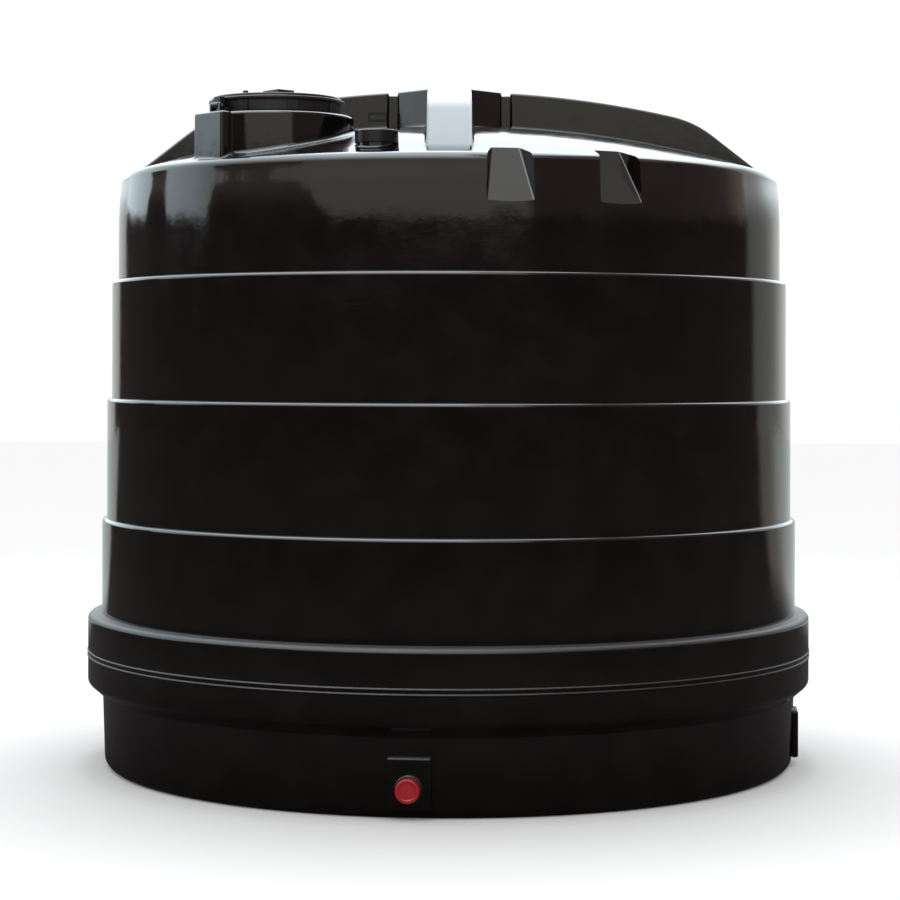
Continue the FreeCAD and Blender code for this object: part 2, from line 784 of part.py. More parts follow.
at_vent = ("vent_bearing", "vent_reach")
vent_cap = turned("VentCap", [
    ("0", "cap_foot"),
    ("vent_radius", "cap_foot"),
    ("vent_radius", "vent_top", "round", "vent_edge_round"),
    ("0", "vent_top"),
])
place(vent_cap, *at_vent)
piece(cut("VentCapCut", vent_cap, roof_core), "vent_cap")
vent_base = place(cylinder("VentBaseBlock", "vent_base_radius", "cap_foot - shoulder_foot - skin"),
                  *at_vent, "shoulder_foot + skin")
piece(cut("VentBase", vent_base, roof_core), "vent_base")

# Flat pads on the tub, one on each side, the front one with the outlet

tub_core = turned("TubCore", [
    ("0", "0"),
    ("foot_radius", "0"),
    ("tub_radius", "tub_height"),
    ("0", "tub_height"),
])
pad_labels = ("outlet_pad_front", "outlet_pad_right", "outlet_pad_back", "outlet_pad_left")
for number, label in enumerate(pad_labels):
    pad_block = padded("PadBlock%d" % number, "XY_Plane", [[
        ("0", "-pad_width / 2"),
        ("pad_reach", "-pad_width / 2", "round", "pad_round"),
        ("pad_reach", "pad_width / 2", "round", "pad_round"),
        ("0", "pad_width / 2"),
    ]], "pad_height")
    place(pad_block, "pad_bearing + 90 * %d" % number, "0", "pad_foot")
    tools = [tub_core]
    if label == "outlet_pad_front":
        tools.append(outlet_hole)
    piece(cut("Pad%d" % number, pad_block, *tools), label)


def along_outlet(thing, reach):
    return outward(thing, "pad_bearing", reach, "outlet_height")


flange_disc = along_outlet(cylinder("FlangeDisc", "outlet_flange_radius", "outlet_flange_depth"), "pad_reach")
pipe_bulk = along_outlet(cylinder("PipeBulk", "outlet_pipe_radius", "outlet_pipe_length"),
                         "outlet_inner_reach")
pipe_bore = along_outlet(cylinder("PipeBore", "outlet_bore_radius", "outlet_pipe_length"),
                         "outlet_inner_reach")
piece(cut("OutletFlange", flange_disc, pipe_bulk), "outlet_flange")
piece(cut("OutletPipe", pipe_bulk, pipe_bore), "outlet_pipe")
cap_block = along_outlet(cylinder("CapBlock", "outlet_cap_radius", "outlet_cap_depth"),
                         "outlet_cap_reach")
piece(cut("OutletCap", cap_block, pipe_bulk), "outlet_cap")

# Rectangular fitting on the near wall of the left rib

fitting = padded("RibFitting", "XZ_Plane", [[
    ("-fitting_reach - fitting_length / 2", "fitting_level"),
    ("-fitting_reach + fitting_length / 2", "fitting_level"),
    ("-fitting_reach + fitting_length / 2", "fitting_level + fitting_height"),
    ("-fitting_reach - fitting_length / 2", "fitting_level + fitting_height"),
], [
    ("-fitting_reach - fitting_length / 2 + fitting_frame", "fitting_level + fitting_frame"),
    ("-fitting_reach + fitting_length / 2 - fitting_frame", "fitting_level + fitting_frame"),
    ("-fitting_reach + fitting_length / 2 - fitting_frame",
     "fitting_level + fitting_height - fitting_frame"),
    ("-fitting_reach - fitting_length / 2 + fitting_frame",
     "fitting_level + fitting_height - fitting_frame"),
]], "fitting_depth")
fitting.Placement = FreeCAD.Placement(Vector(0, -1, 0), FreeCAD.Rotation(Z_AXIS, 0))
fitting.setExpression("Placement.Base.y", bound("-rib_width / 2"))
piece(fitting, "rib_fitting")

doc.recompute()
for thing in doc.Objects:
    if "Invalid" in thing.State or "Error" in thing.State:
        raise RuntimeError("%s failed: %s" % (thing.Label, thing.State))
os.makedirs("parts", exist_ok=True)
for thing in pieces:
    shape = thing.Shape
    if shape.isNull() or not shape.isValid() or not shape.Solids:
        raise RuntimeError("%s has no valid solid" % thing.Label)
    shape.exportStep("parts/%s.step" % thing.Label)
    print(thing.Label, len(shape.Solids), round(shape.Volume / 1e6, 2))
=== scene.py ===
import json
import math

import bpy
from mathutils import Matrix, Vector


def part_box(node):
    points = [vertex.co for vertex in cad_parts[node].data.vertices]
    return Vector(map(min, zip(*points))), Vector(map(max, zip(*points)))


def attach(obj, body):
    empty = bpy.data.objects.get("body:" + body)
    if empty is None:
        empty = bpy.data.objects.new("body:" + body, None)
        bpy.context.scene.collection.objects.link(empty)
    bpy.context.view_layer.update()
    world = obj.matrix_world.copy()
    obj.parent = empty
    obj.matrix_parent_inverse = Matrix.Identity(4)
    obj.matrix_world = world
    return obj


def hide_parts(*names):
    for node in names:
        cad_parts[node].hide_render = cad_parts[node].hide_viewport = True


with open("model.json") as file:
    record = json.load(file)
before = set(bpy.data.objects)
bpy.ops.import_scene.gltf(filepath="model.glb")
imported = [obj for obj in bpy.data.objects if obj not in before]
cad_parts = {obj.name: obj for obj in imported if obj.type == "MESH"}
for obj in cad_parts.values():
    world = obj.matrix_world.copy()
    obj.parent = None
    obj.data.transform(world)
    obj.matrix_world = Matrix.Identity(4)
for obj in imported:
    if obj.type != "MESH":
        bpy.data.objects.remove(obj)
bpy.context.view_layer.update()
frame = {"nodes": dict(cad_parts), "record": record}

print("Frame loaded:", len(frame["nodes"]), "nodes")

# Small helpers that every piece uses. Creases are angles in degrees over which an edge stays sharp

weld = {"line": 0.00001, "mesh": 0.00002}
crease = {"ring": 35, "block": 30, "strip": 50, "roof": 24, "bevel": 40}


def deselectAll():
    bpy.ops.object.select_all(action="DESELECT")


def toEdit():
    bpy.ops.object.mode_set(mode="EDIT")
    bpy.ops.mesh.select_mode(type="VERT")


def selectAll():
    bpy.ops.mesh.select_all(action="SELECT")


def extrudeBy(step):
    bpy.ops.mesh.extrude_region_move(TRANSFORM_OT_translate={"value": step})


def toObject():
    bpy.ops.object.mode_set(mode="OBJECT")


def pick(obj):
    # Makes one object the only selected and the active one
    deselectAll()
    obj.select_set(True)
    bpy.context.view_layer.objects.active = obj
    return obj


def applyPlace(obj):
    pick(obj)
    bpy.ops.object.transform_apply(location=True, rotation=True, scale=True)
    return obj


def modify(obj, kind, **settings):
    # Adds a modifier with its settings and applies it
    modifier = obj.modifiers.new("shaped", kind)
    for key, value in settings.items():
        setattr(modifier, key, value)
    pick(obj)
    bpy.ops.object.modifier_apply(modifier=modifier.name)
    return obj


def smooth(obj, degrees=crease["block"]):
    pick(obj)
    bpy.ops.object.shade_smooth_by_angle(angle=math.radians(degrees))
    return obj


def selectBy(obj, test, kind):
    # Selects edges or faces of the active object by their place
    toObject()
    mesh = obj.data
    for part in (mesh.vertices, mesh.edges, mesh.polygons):
        part.foreach_set("select", [False] * len(part))
    for item in getattr(mesh, kind):
        item.select = bool(test(item))
    toEdit()
    bpy.ops.mesh.select_mode(type={"edges": "EDGE", "polygons": "FACE"}[kind])


def closeUp(obj):
    # Merges doubles and turns every face outwards
    toObject()
    pick(obj)
    toEdit()
    selectAll()
    bpy.ops.mesh.remove_doubles(threshold=weld["mesh"])
    bpy.ops.mesh.normals_make_consistent(inside=False)
    toObject()
    return obj


def finishPiece(obj, name, body, slot, material, *nodes):
    # Names a piece, gives it its finish and hangs it on its body. Large faces keep their own normals
    applyPlace(obj)
    modify(obj, "WEIGHTED_NORMAL", keep_sharp=True)
    obj.name = name
    obj.data.name = name
    obj.data.materials.clear()
    obj.data.materials.append(material)
    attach(obj, body)
    if nodes:
        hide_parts(*nodes)
    return obj


def roundCorner(before, corner, after, radius, parts):
    # Points of an arc that rounds a corner between two straight runs
    back = (before - corner).normalized()
    ahead = (after - corner).normalized()
    half = back.angle(ahead) / 2
    reach = radius / math.tan(half)
    centre = corner + (back + ahead).normalized() * (radius / math.sin(half))
    start = corner + back * reach - centre
    end = corner + ahead * reach - centre
    turn = start.angle(end)
    points = []
    for step in range(parts + 1):
        share = step / parts
        blend = (start * math.sin((1 - share) * turn) + end * math.sin(share * turn)) / math.sin(turn)
        points.append(centre + blend)
    return points


def profilePoints(corners, parts=6):
    # Corners are (radius, height) or (radius, height, rounding), in order round the section
    spots = [Vector((corner[0], corner[1])) for corner in corners]
    points = []
    for index, corner in enumerate(corners):
        if len(corner) == 3:
            after = spots[(index + 1) % len(spots)]
            points += roundCorner(spots[index - 1], spots[index], after, corner[2], parts)
        else:
            points.append(spots[index])
    return points


def drawLine(points, centre=(0, 0)):
    # Merges a plane to one vertex and extrudes it from point to point in the XZ plane, and back
    deselectAll()
    bpy.ops.mesh.primitive_plane_add(size=0.01, location=(0, 0, 0))
    obj = bpy.context.object
    toEdit()
    bpy.ops.mesh.merge(type="CENTER")
    bpy.ops.transform.translate(value=(centre[0] + points[0].x, centre[1], points[0].y))
    for before, after in zip(points, points[1:] + points[:1]):
        extrudeBy((after.x - before.x, 0, after.y - before.y))
    selectAll()
    bpy.ops.mesh.remove_doubles(threshold=weld["line"])
    return obj


def turnedRing(corners, steps=240, parts=6, centre=(0, 0)):
    # Spins a section about an upright axis
    obj = drawLine(profilePoints(corners, parts), centre)
    selectAll()
    bpy.ops.mesh.spin(steps=steps, angle=2 * math.pi, center=(centre[0], centre[1], 0), axis=(0, 0, 1))
    return smooth(closeUp(obj), crease["ring"])


def joined(parts):
    # Joins the parts into the first of them
    pick(parts[0])
    for part in parts:
        part.select_set(True)
    bpy.ops.object.join()
    return parts[0]


def cutAway(obj, tool):
    modify(obj, "BOOLEAN", operation="DIFFERENCE", object=tool, solver="EXACT")
    bpy.data.objects.remove(tool)
    return obj


# Shared node groups: an effect that more than one finish uses


def newGroup(name, inputs, outputs):
    # Group of number sockets, with the usual value of each input
    group = bpy.data.node_groups.new(name, "ShaderNodeTree")
    for label, value in inputs.items():
        socket = group.interface.new_socket(name=label, in_out="INPUT", socket_type="NodeSocketFloat")
        socket.default_value = value
    for label in outputs:
        group.interface.new_socket(name=label, in_out="OUTPUT", socket_type="NodeSocketFloat")
    return group, group.nodes.new("NodeGroupInput").outputs, group.nodes.new("NodeGroupOutput").inputs


def addNode(tree, kind, **settings):
    node = tree.nodes.new(kind)
    for key, value in settings.items():
        setattr(node, key, value)
    return node


def feed(tree, socket, value):
    # A number or a colour stands on the socket itself, anything else is linked to it
    if isinstance(value, (int, float, tuple)):
        socket.default_value = value
    else:
        tree.links.new(value, socket)


def objectPlace(tree):
    return addNode(tree, "ShaderNodeTexCoord").outputs["Object"]


def axisParts(tree, vector):
    split = addNode(tree, "ShaderNodeSeparateXYZ")
    tree.links.new(vector, split.inputs["Vector"])
    return split.outputs


def noiseNode(tree, vector, scale, detail=3.0, roughness=0.5):
    node = addNode(tree, "ShaderNodeTexNoise")
    tree.links.new(vector, node.inputs["Vector"])
    feed(tree, node.inputs["Scale"], scale)
    node.inputs["Detail"].default_value = detail
    node.inputs["Roughness"].default_value = roughness
    return node.outputs["Fac"]


def rangeNode(tree, value, span, low=0.0, high=1.0, style="SMOOTHSTEP"):
    node = addNode(tree, "ShaderNodeMapRange", interpolation_type=style)
    tree.links.new(value, node.inputs["Value"])
    for label, number in zip(("From Min", "From Max", "To Min", "To Max"), (*span, low, high)):
        feed(tree, node.inputs[label], number)
    return node.outputs["Result"]


def mathNode(tree, operation, first, second=0.0):
    node = addNode(tree, "ShaderNodeMath", operation=operation)
    for socket, value in zip(node.inputs, (first, second)):
        feed(tree, socket, value)
    return node.outputs["Value"]


def times(tree, first, second):
    return mathNode(tree, "MULTIPLY", first, second)


def plus(tree, first, second):
    return mathNode(tree, "ADD", first, second)


def larger(tree, first, second):
    return mathNode(tree, "MAXIMUM", first, second)


def mixColour(tree, share, first, second):
    node = addNode(tree, "ShaderNodeMix", data_type="RGBA")
    tree.links.new(share, node.inputs["Factor"])
    feed(tree, node.inputs[6], first)
    feed(tree, node.inputs[7], second)
    return node.outputs[2]


# Noises as detail and roughness, with their scale first where no finish sets it
skinLook = {"wave": (2.0, 0.45), "peel": (3.0, 0.55), "mottle": (7.0, 5.0, 0.6)}


def makeMouldedSkin():
    # Height of a moulded skin, slow waves of the wall under a fine orange peel, and a mottling of the colour
    usual = {"Wave Scale": 3.0, "Wave": 1.0, "Peel Scale": 160.0, "Peel": 0.05}
    group, given, made = newGroup("mouldedSkin", usual, ("Height", "Mottle"))
    where = objectPlace(group)
    wave = noiseNode(group, where, given["Wave Scale"], *skinLook["wave"])
    peel = noiseNode(group, where, given["Peel Scale"], *skinLook["peel"])
    waveHeight = times(group, wave, given["Wave"])
    peelHeight = times(group, peel, given["Peel"])
    mottle = noiseNode(group, where, *skinLook["mottle"])
    group.links.new(plus(group, waveHeight, peelHeight), made["Height"])
    group.links.new(mottle, made["Mottle"])
    return group


dustLook = {"facingUp": (0.25, 0.95), "cloud": (6.0, 0.65), "patch": (0.35, 0.7), "patchLeast": 0.15,
            "soilLevel": (0.60, 0.75), "soilFacing": (0.05, 0.45), "soilColour": 0.2}


def makeDust():
    # Dust that lies on faces that look up, broken by a noise, and splashed soil near the ground
    usual = {"Amount": 0.5, "Splash": 0.0, "Scale": 14.0}
    group, given, made = newGroup("settledDust", usual, ("Mask", "Soil"))
    where = objectPlace(group)
    facing = axisParts(group, addNode(group, "ShaderNodeNewGeometry").outputs["Normal"])["Z"]
    cloud = noiseNode(group, where, given["Scale"], *dustLook["cloud"])
    patch = rangeNode(group, cloud, dustLook["patch"], dustLook["patchLeast"])
    lying = times(group, rangeNode(group, facing, dustLook["facingUp"]), patch)
    settled = times(group, lying, given["Amount"])
    low = rangeNode(group, axisParts(group, where)["Z"], dustLook["soilLevel"], 1.0, 0.0)
    splashed = times(group, low, rangeNode(group, facing, dustLook["soilFacing"]))
    soil = times(group, splashed, given["Splash"])
    soilColour = times(group, soil, dustLook["soilColour"])
    group.links.new(larger(group, settled, soilColour), made["Mask"])
    group.links.new(soil, made["Soil"])
    return group


scuffLook = {"stretch": (1.0, 1.0, 14.0), "streak": (8.0, 0.7), "areaScale": 2.3, "line": (0.6, 0.72),
             "area": (0.5, 0.68), "edge": (0.53, 0.62), "edgeMost": 0.6}


def makeScuffs():
    # Fine scratches and rubbed spots from handling, and worn edges
    group, given, made = newGroup("handlingScuffs", {"Amount": 0.5, "Scale": 9.0}, ("Mask",))
    where = objectPlace(group)
    stretch = addNode(group, "ShaderNodeMapping")
    stretch.inputs["Scale"].default_value = scuffLook["stretch"]
    group.links.new(where, stretch.inputs["Vector"])
    streak = noiseNode(group, stretch.outputs["Vector"], given["Scale"], *scuffLook["streak"])
    cloud = noiseNode(group, where, scuffLook["areaScale"])
    line = rangeNode(group, streak, scuffLook["line"])
    rubbed = times(group, line, rangeNode(group, cloud, scuffLook["area"]))
    sharp = addNode(group, "ShaderNodeNewGeometry").outputs["Pointiness"]
    worn = rangeNode(group, sharp, scuffLook["edge"], 0.0, scuffLook["edgeMost"])
    edges = times(group, worn, streak)
    mask = times(group, larger(group, rubbed, edges), given["Amount"])
    group.links.new(mask, made["Mask"])
    return group


mouldedSkin = makeMouldedSkin()
settledDust = makeDust()
handlingScuffs = makeScuffs()
print("Shader groups made")


def groupNode(tree, group, **values):
    node = addNode(tree, "ShaderNodeGroup", node_tree=group)
    for label, value in values.items():
        node.inputs[label.replace("_", " ")].default_value = value
    return node


def bumpInto(tree, shader, height, strength, distance):
    bump = addNode(tree, "ShaderNodeBump")
    bump.inputs["Strength"].default_value = strength
    bump.inputs["Distance"].default_value = distance
    tree.links.new(height, bump.inputs["Height"])
    tree.links.new(bump.outputs["Normal"], shader.inputs["Normal"])


def newMaterial(name):
    material = bpy.data.materials.new(name)
    material.use_nodes = True
    tree = material.node_tree
    return material, tree, tree.nodes["Principled BSDF"]


plastic = {"mottle": (0.35, 0.7), "gloss": (0.3, 0.75), "dustDulls": 0.35, "soilDulls": 0.6,
           "scuffDulls": 0.2}


def plasticFinish(name, look):
    # Moulded plastic: colour with mottling, dust and scuffs, uneven gloss, and a waved, peeled surface
    material, tree, shader = newMaterial(name)
    shader.inputs["IOR"].default_value = look["ior"]
    skin = groupNode(tree, mouldedSkin, Wave_Scale=look["waveScale"], Wave=look["wave"],
                     Peel_Scale=look["peelScale"], Peel=look["peel"])
    dust = groupNode(tree, settledDust, Amount=look["dust"], Splash=look["splash"])
    scuffs = groupNode(tree, handlingScuffs, Amount=look["scuffs"])
    mottle = rangeNode(tree, skin.outputs["Mottle"], plastic["mottle"])
    base = mixColour(tree, mottle, *look["colours"])
    dusty = mixColour(tree, dust.outputs["Mask"], base, look["dustColour"])
    worn = mixColour(tree, scuffs.outputs["Mask"], dusty, look["scuffColour"])
    tree.links.new(worn, shader.inputs["Base Color"])
    rough = rangeNode(tree, skin.outputs["Mottle"], plastic["gloss"], *look["rough"])
    for mask, share in ((dust.outputs["Mask"], "dustDulls"), (dust.outputs["Soil"], "soilDulls"),
                        (scuffs.outputs["Mask"], "scuffDulls")):
        rough = plus(tree, rough, times(tree, mask, plastic[share]))
    tree.links.new(rough, shader.inputs["Roughness"])
    bumpInto(tree, shader, skin.outputs["Height"], 1.0, look["bumpDepth"])
    return material


tankPlastic = plasticFinish("tankPlastic", {
    "colours": ((0.0032, 0.0020, 0.0021, 1), (0.0052, 0.0036, 0.0036, 1)),
    "dustColour": (0.06, 0.058, 0.052, 1), "scuffColour": (0.03, 0.028, 0.027, 1),
    "ior": 1.5, "rough": (0.055, 0.10), "dust": 0.12, "splash": 0.75, "scuffs": 0.25,
    "waveScale": 3.0, "wave": 0.4, "peelScale": 26.0, "peel": 0.06, "bumpDepth": 0.003,
})
lidPlastic = plasticFinish("lidPlastic", {
    "colours": ((0.007, 0.0062, 0.0052, 1), (0.013, 0.0115, 0.0098, 1)),
    "dustColour": (0.05, 0.047, 0.04, 1), "scuffColour": (0.03, 0.028, 0.025, 1),
    "ior": 1.45, "rough": (0.30, 0.42), "dust": 0.3, "splash": 0.0, "scuffs": 0.5,
    "waveScale": 9.0, "wave": 0.25, "peelScale": 260.0, "peel": 0.03, "bumpDepth": 0.003,
})
fittingPlastic = plasticFinish("fittingPlastic", {
    "colours": ((0.006, 0.0052, 0.0047, 1), (0.011, 0.0098, 0.009, 1)),
    "dustColour": (0.07, 0.066, 0.06, 1), "scuffColour": (0.035, 0.033, 0.03, 1),
    "ior": 1.42, "rough": (0.24, 0.36), "dust": 0.3, "splash": 0.0, "scuffs": 0.4,
    "waveScale": 12.0, "wave": 0.1, "peelScale": 400.0, "peel": 0.03, "bumpDepth": 0.002,
})
capPlastic = plasticFinish("capPlastic", {
    "colours": ((0.25, 0.004, 0.009, 1), (0.31, 0.006, 0.012, 1)),
    "dustColour": (0.30, 0.09, 0.09, 1), "scuffColour": (0.36, 0.04, 0.05, 1),
    "ior": 1.45, "rough": (0.25, 0.38), "dust": 0.1, "splash": 0.0, "scuffs": 0.2,
    "waveScale": 20.0, "wave": 0.1, "peelScale": 500.0, "peel": 0.03, "bumpDepth": 0.002,
})

steel = {"colours": ((0.5, 0.5, 0.52, 1), (0.32, 0.31, 0.31, 1)), "rough": (0.25, 0.45),
         "grain": 260.0, "span": (0.3, 0.7), "scuffs": 0.8, "bump": 0.3, "bumpDepth": 0.001}


def steelFinish():
    material, tree, shader = newMaterial("hingeSteel")
    shader.inputs["Metallic"].default_value = 1.0
    scuffs = groupNode(tree, handlingScuffs, Amount=steel["scuffs"])
    grain = noiseNode(tree, objectPlace(tree), steel["grain"])
    tree.links.new(mixColour(tree, grain, *steel["colours"]), shader.inputs["Base Color"])
    rough = rangeNode(tree, grain, steel["span"], *steel["rough"])
    tree.links.new(plus(tree, rough, scuffs.outputs["Mask"]), shader.inputs["Roughness"])
    bumpInto(tree, shader, grain, steel["bump"], steel["bumpDepth"])
    return material


hingeSteel = steelFinish()
print("Finishes made")


def tankPiece(obj, name, *nodes):
    return finishPiece(obj, name, "tank", "tank_plastic", tankPlastic, *nodes)


def fittingPiece(obj, name, node):
    return finishPiece(obj, name, "tank", "fitting_plastic", fittingPlastic, node)


def lidPiece(obj, name, node):
    return finishPiece(obj, name, "lid", "lid_plastic", lidPlastic, node)


# Rings of the tank, from the ground up. Radii and levels come from the frame


def ringSize(node):
    low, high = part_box(node)
    return round(high.x, 4), round(low.z, 4), round(high.z, 4)


skin = 0.010

tub = {"draft": 0.009, "footRound": 0.040, "innerRound": 0.030}
collar = {"footRise": 0.024, "flare": 0.049, "footRound": 0.025, "rim": 0.024, "topRound": 0.020,
          "ledge": 0.021}


def makeTub():
    radius, foot, top = ringSize("base_wall")
    narrow = radius - tub["draft"]
    ring = turnedRing([
        (narrow - tub["footRound"], foot),
        (narrow, foot, tub["footRound"]),
        (radius, top + collar["footRise"]),
        (radius - skin, top + collar["footRise"]),
        (narrow - skin, foot + skin, tub["innerRound"]),
        (narrow - tub["footRound"], foot + skin),
    ])
    tankPiece(ring, "tubWall", "base_wall")


def makeCollar():
    tubRadius = ringSize("base_wall")[0]
    bandRadius = ringSize("wall_band_1")[0]
    radius, foot, top = ringSize("collar_lower")
    foot += collar["footRise"]
    lower = turnedRing([
        (tubRadius, foot),
        (radius, foot + collar["flare"], collar["footRound"]),
        (radius, top),
        (radius - skin, top),
        (radius - skin, foot + collar["flare"], collar["footRound"] - skin),
        (tubRadius - skin, foot),
    ])
    tankPiece(lower, "collarLower", "collar_lower")
    radius, foot, top = ringSize("collar_upper")
    rim = top - collar["rim"]
    ledge = top - collar["ledge"]
    upper = turnedRing([
        (radius - skin, foot - seam["drop"]), (radius, foot - seam["drop"]),
        (radius, rim, collar["topRound"]),
        (bandRadius, ledge), (bandRadius, top),
        (bandRadius - skin, top), (bandRadius - skin, ledge - skin),
        (radius - skin, rim - skin, collar["topRound"] - skin),
    ])
    tankPiece(upper, "collarUpper", "collar_upper")


seam = {"bead": 0.0075, "spread": 0.0045, "drop": 0.007, "parts": 4}


def makeSeam():
    # Two half-round beads with the wall between them
    proud, foot, top = ringSize("parting_seam")
    radius = ringSize("collar_upper")[0]
    centre = proud - seam["bead"]
    reach = math.acos((radius - centre) / seam["bead"])
    corners = [(radius - skin, foot - seam["drop"])]
    for level in (foot + seam["spread"], top - seam["spread"]):
        for part in range(-seam["parts"], seam["parts"] + 1):
            turn = reach * part / seam["parts"]
            corners.append((centre + seam["bead"] * math.cos(turn),
                            level - seam["drop"] + seam["bead"] * math.sin(turn)))
    corners.append((radius - skin, top - seam["drop"]))
    ring = turnedRing(corners)
    tankPiece(ring, "partingSeam", "parting_seam")


band = {"ledgeRound": 0.014, "ledgeRise": 0.003, "parts": 7}


def makeBand(node, name, nextNode):
    radius, foot, top = ringSize(node)
    inner = ringSize(nextNode)[0]
    ring = turnedRing([
        (radius, foot),
        (radius, top - band["ledgeRise"], band["ledgeRound"]),
        (inner, top), (inner - skin, top), (inner - skin, top - skin),
        (radius - skin, top - band["ledgeRise"] - skin),
        (radius - skin, foot),
    ], parts=band["parts"])
    tankPiece(ring, name, node)


makeTub()
makeSeam()
makeCollar()
makeBand("wall_band_1", "wallBandOne", "wall_band_2")
makeBand("wall_band_2", "wallBandTwo", "wall_band_3")
makeBand("wall_band_3", "wallBandThree", "wall_band_4")
print("Wall rings made")

# Roof: the top band, shoulder and dome in one moulded shell, with the recesses and the manhole cut in

roof = {
    "domeTop": 2.418, "domeEdge": 1.150, "domeEdgeHeight": 2.257,
    "cornerRadius": 1.2545, "cornerHeight": 2.2275, "cornerRound": 0.033,
    "sideTurns": [(1.2660, 1.990), (1.2655, 2.050), (1.2638, 2.105), (1.2605, 2.150), (1.2570, 2.180)],
    "domeParts": 26, "steps": 288, "parts": 10, "near": 0.0005, "sink": 0.006,
}
domeRise = roof["domeTop"] - roof["domeEdgeHeight"]
domeArch = (roof["domeEdge"] ** 2 + domeRise ** 2) / (2 * domeRise)
roofFall = (roof["domeEdgeHeight"] - roof["cornerHeight"]) / (roof["cornerRadius"] - roof["domeEdge"])
fallAngle = math.atan(roofFall)
bendReach = roof["cornerRadius"] - roof["cornerRound"] * math.tan((math.pi / 2 - fallAngle) / 2)


def roofHeight(reach):
    # Height of the roof's outer face at a reach from the axis: dome, sloped edge, rounded shoulder
    if reach < roof["domeEdge"]:
        return roof["domeTop"] - domeArch + math.sqrt(domeArch ** 2 - reach ** 2)
    if reach < bendReach:
        return roof["domeEdgeHeight"] - roofFall * (reach - roof["domeEdge"])
    turn = roof["cornerRound"]
    middle = bendReach - turn * math.sin(fallAngle)
    level = roofHeight(bendReach - 0.0001) - turn * math.cos(fallAngle)
    return level + math.sqrt(max(turn ** 2 - (reach - middle) ** 2, 0))


def roofUnder(spot):
    return roofHeight(math.hypot(spot[0], spot[1]))


def onRoof(obj, low, high, rise):
    # Lets the vertices between two levels follow the roof, just over its face or under it
    toObject()
    for vertex in obj.data.vertices:
        if low < vertex.co.z < high:
            vertex.co.z = roofUnder(vertex.co) + rise
    return obj


# A round piece on the roof starts as a ring far below it, with a second row of points a little higher
stand = {"foot": 2.15, "second": 0.03, "near": 0.01}


def standOnRoof(obj, rise):
    # The foot of a round piece goes just under the roof's face, and its second row just over it
    foot, second = stand["foot"], stand["foot"] + stand["second"]
    onRoof(obj, foot - stand["near"], foot + stand["near"], -roof["sink"])
    return onRoof(obj, second - stand["near"], second + stand["near"], rise)


def roundOutline(centre, radius, count):
    across, along = centre
    turns = [2 * math.pi * step / count for step in range(count)]
    return [Vector((across + radius * math.cos(turn), along + radius * math.sin(turn))) for turn in turns]


def softOutline(corners, rounding, spacing=0.03):
    # Plan outline, counter-clockwise, with rounded corners and points close enough to follow the roof
    points = []
    for index, corner in enumerate(corners):
        before, after = corners[index - 1], corners[(index + 1) % len(corners)]
        points += roundCorner(Vector(before), Vector(corner), Vector(after), rounding, 4)
    outline = []
    for index, point in enumerate(points):
        ahead = points[(index + 1) % len(points)]
        steps = max(1, math.ceil((ahead - point).length / spacing))
        outline += [point.lerp(ahead, step / steps) for step in range(steps)]
    return outline


# Section of a moulded fillet in parts of its radius: an arc closed by two points under the roof
hug = {"parts": 6, "buried": [(0.5, -0.25), (-0.2, -0.25)], "wallShare": 0.8, "sharpest": 0.5}


def hugStrip(name, outline, radius, wallHeight=None):
    # Moulded fillet between the roof and a wall that follows an outline: a grid rolled into a closed strip.
    # Where the wall is low, wallHeight(spot) keeps the fillet under its top
    turns = [math.pi / 2 * part / hug["parts"] for part in range(hug["parts"] + 1)]
    section = [(1 - math.cos(turn), 1 - math.sin(turn)) for turn in turns] + hug["buried"]
    count, rows = len(outline), len(section)
    deselectAll()
    bpy.ops.mesh.primitive_grid_add(x_subdivisions=count, y_subdivisions=rows, size=1)
    strip = bpy.context.object
    for index, vertex in enumerate(strip.data.vertices):
        column, row = index % (count + 1) % count, index // (count + 1) % rows
        here, before, after = outline[column], outline[column - 1], outline[(column + 1) % count]
        first, second = (here - before).normalized(), (after - here).normalized()
        out = Vector((first.y + second.y, -first.x - second.x)).normalized()
        out /= max(out.dot(Vector((first.y, -first.x))), hug["sharpest"])
        size = radius if wallHeight is None else min(radius, hug["wallShare"] * wallHeight(here))
        across, up = section[row][0] * size, section[row][1] * size
        spot = here + out * across
        vertex.co = (spot.x, spot.y, roofUnder(spot) + up)
    closeUp(strip)
    return tankPiece(smooth(strip, crease["strip"]), name)


def softEdges(obj, width, segments=4):
    angle = math.radians(crease["bevel"])
    return modify(obj, "BEVEL", width=width, segments=segments, limit_method="ANGLE", angle_limit=angle)


def boxPiece(low, high, rounding, segments=4):
    # Block between two corners with rounded edges
    deselectAll()
    middle = [(a + b) / 2 for a, b in zip(low, high)]
    bpy.ops.mesh.primitive_cube_add(size=1, location=middle, scale=[b - a for a, b in zip(low, high)])
    box = applyPlace(bpy.context.object)
    return smooth(softEdges(box, rounding, segments))


manhole = {
    "bearing": math.radians(228), "reach": 0.925, "neck": 0.276, "mouth": 0.200, "top": 2.400,
    "lipRound": 0.003, "innerRound": 0.006, "rimRound": 0.012, "fillet": 0.015, "clear": 0.004,
    "holeMiddle": 2.35, "holeDepth": 0.4,
}
manholeAt = (manhole["reach"] * math.cos(manhole["bearing"]), manhole["reach"] * math.sin(manhole["bearing"]))
recess = {"bearings": (279.4, 297.7), "foot": 2.070, "footReach": 1.262, "height": 0.186, "depth": 0.100,
          "footWidth": 0.165, "topWidth": 0.099, "open": 0.060, "crease": 0.006, "creaseParts": 5}


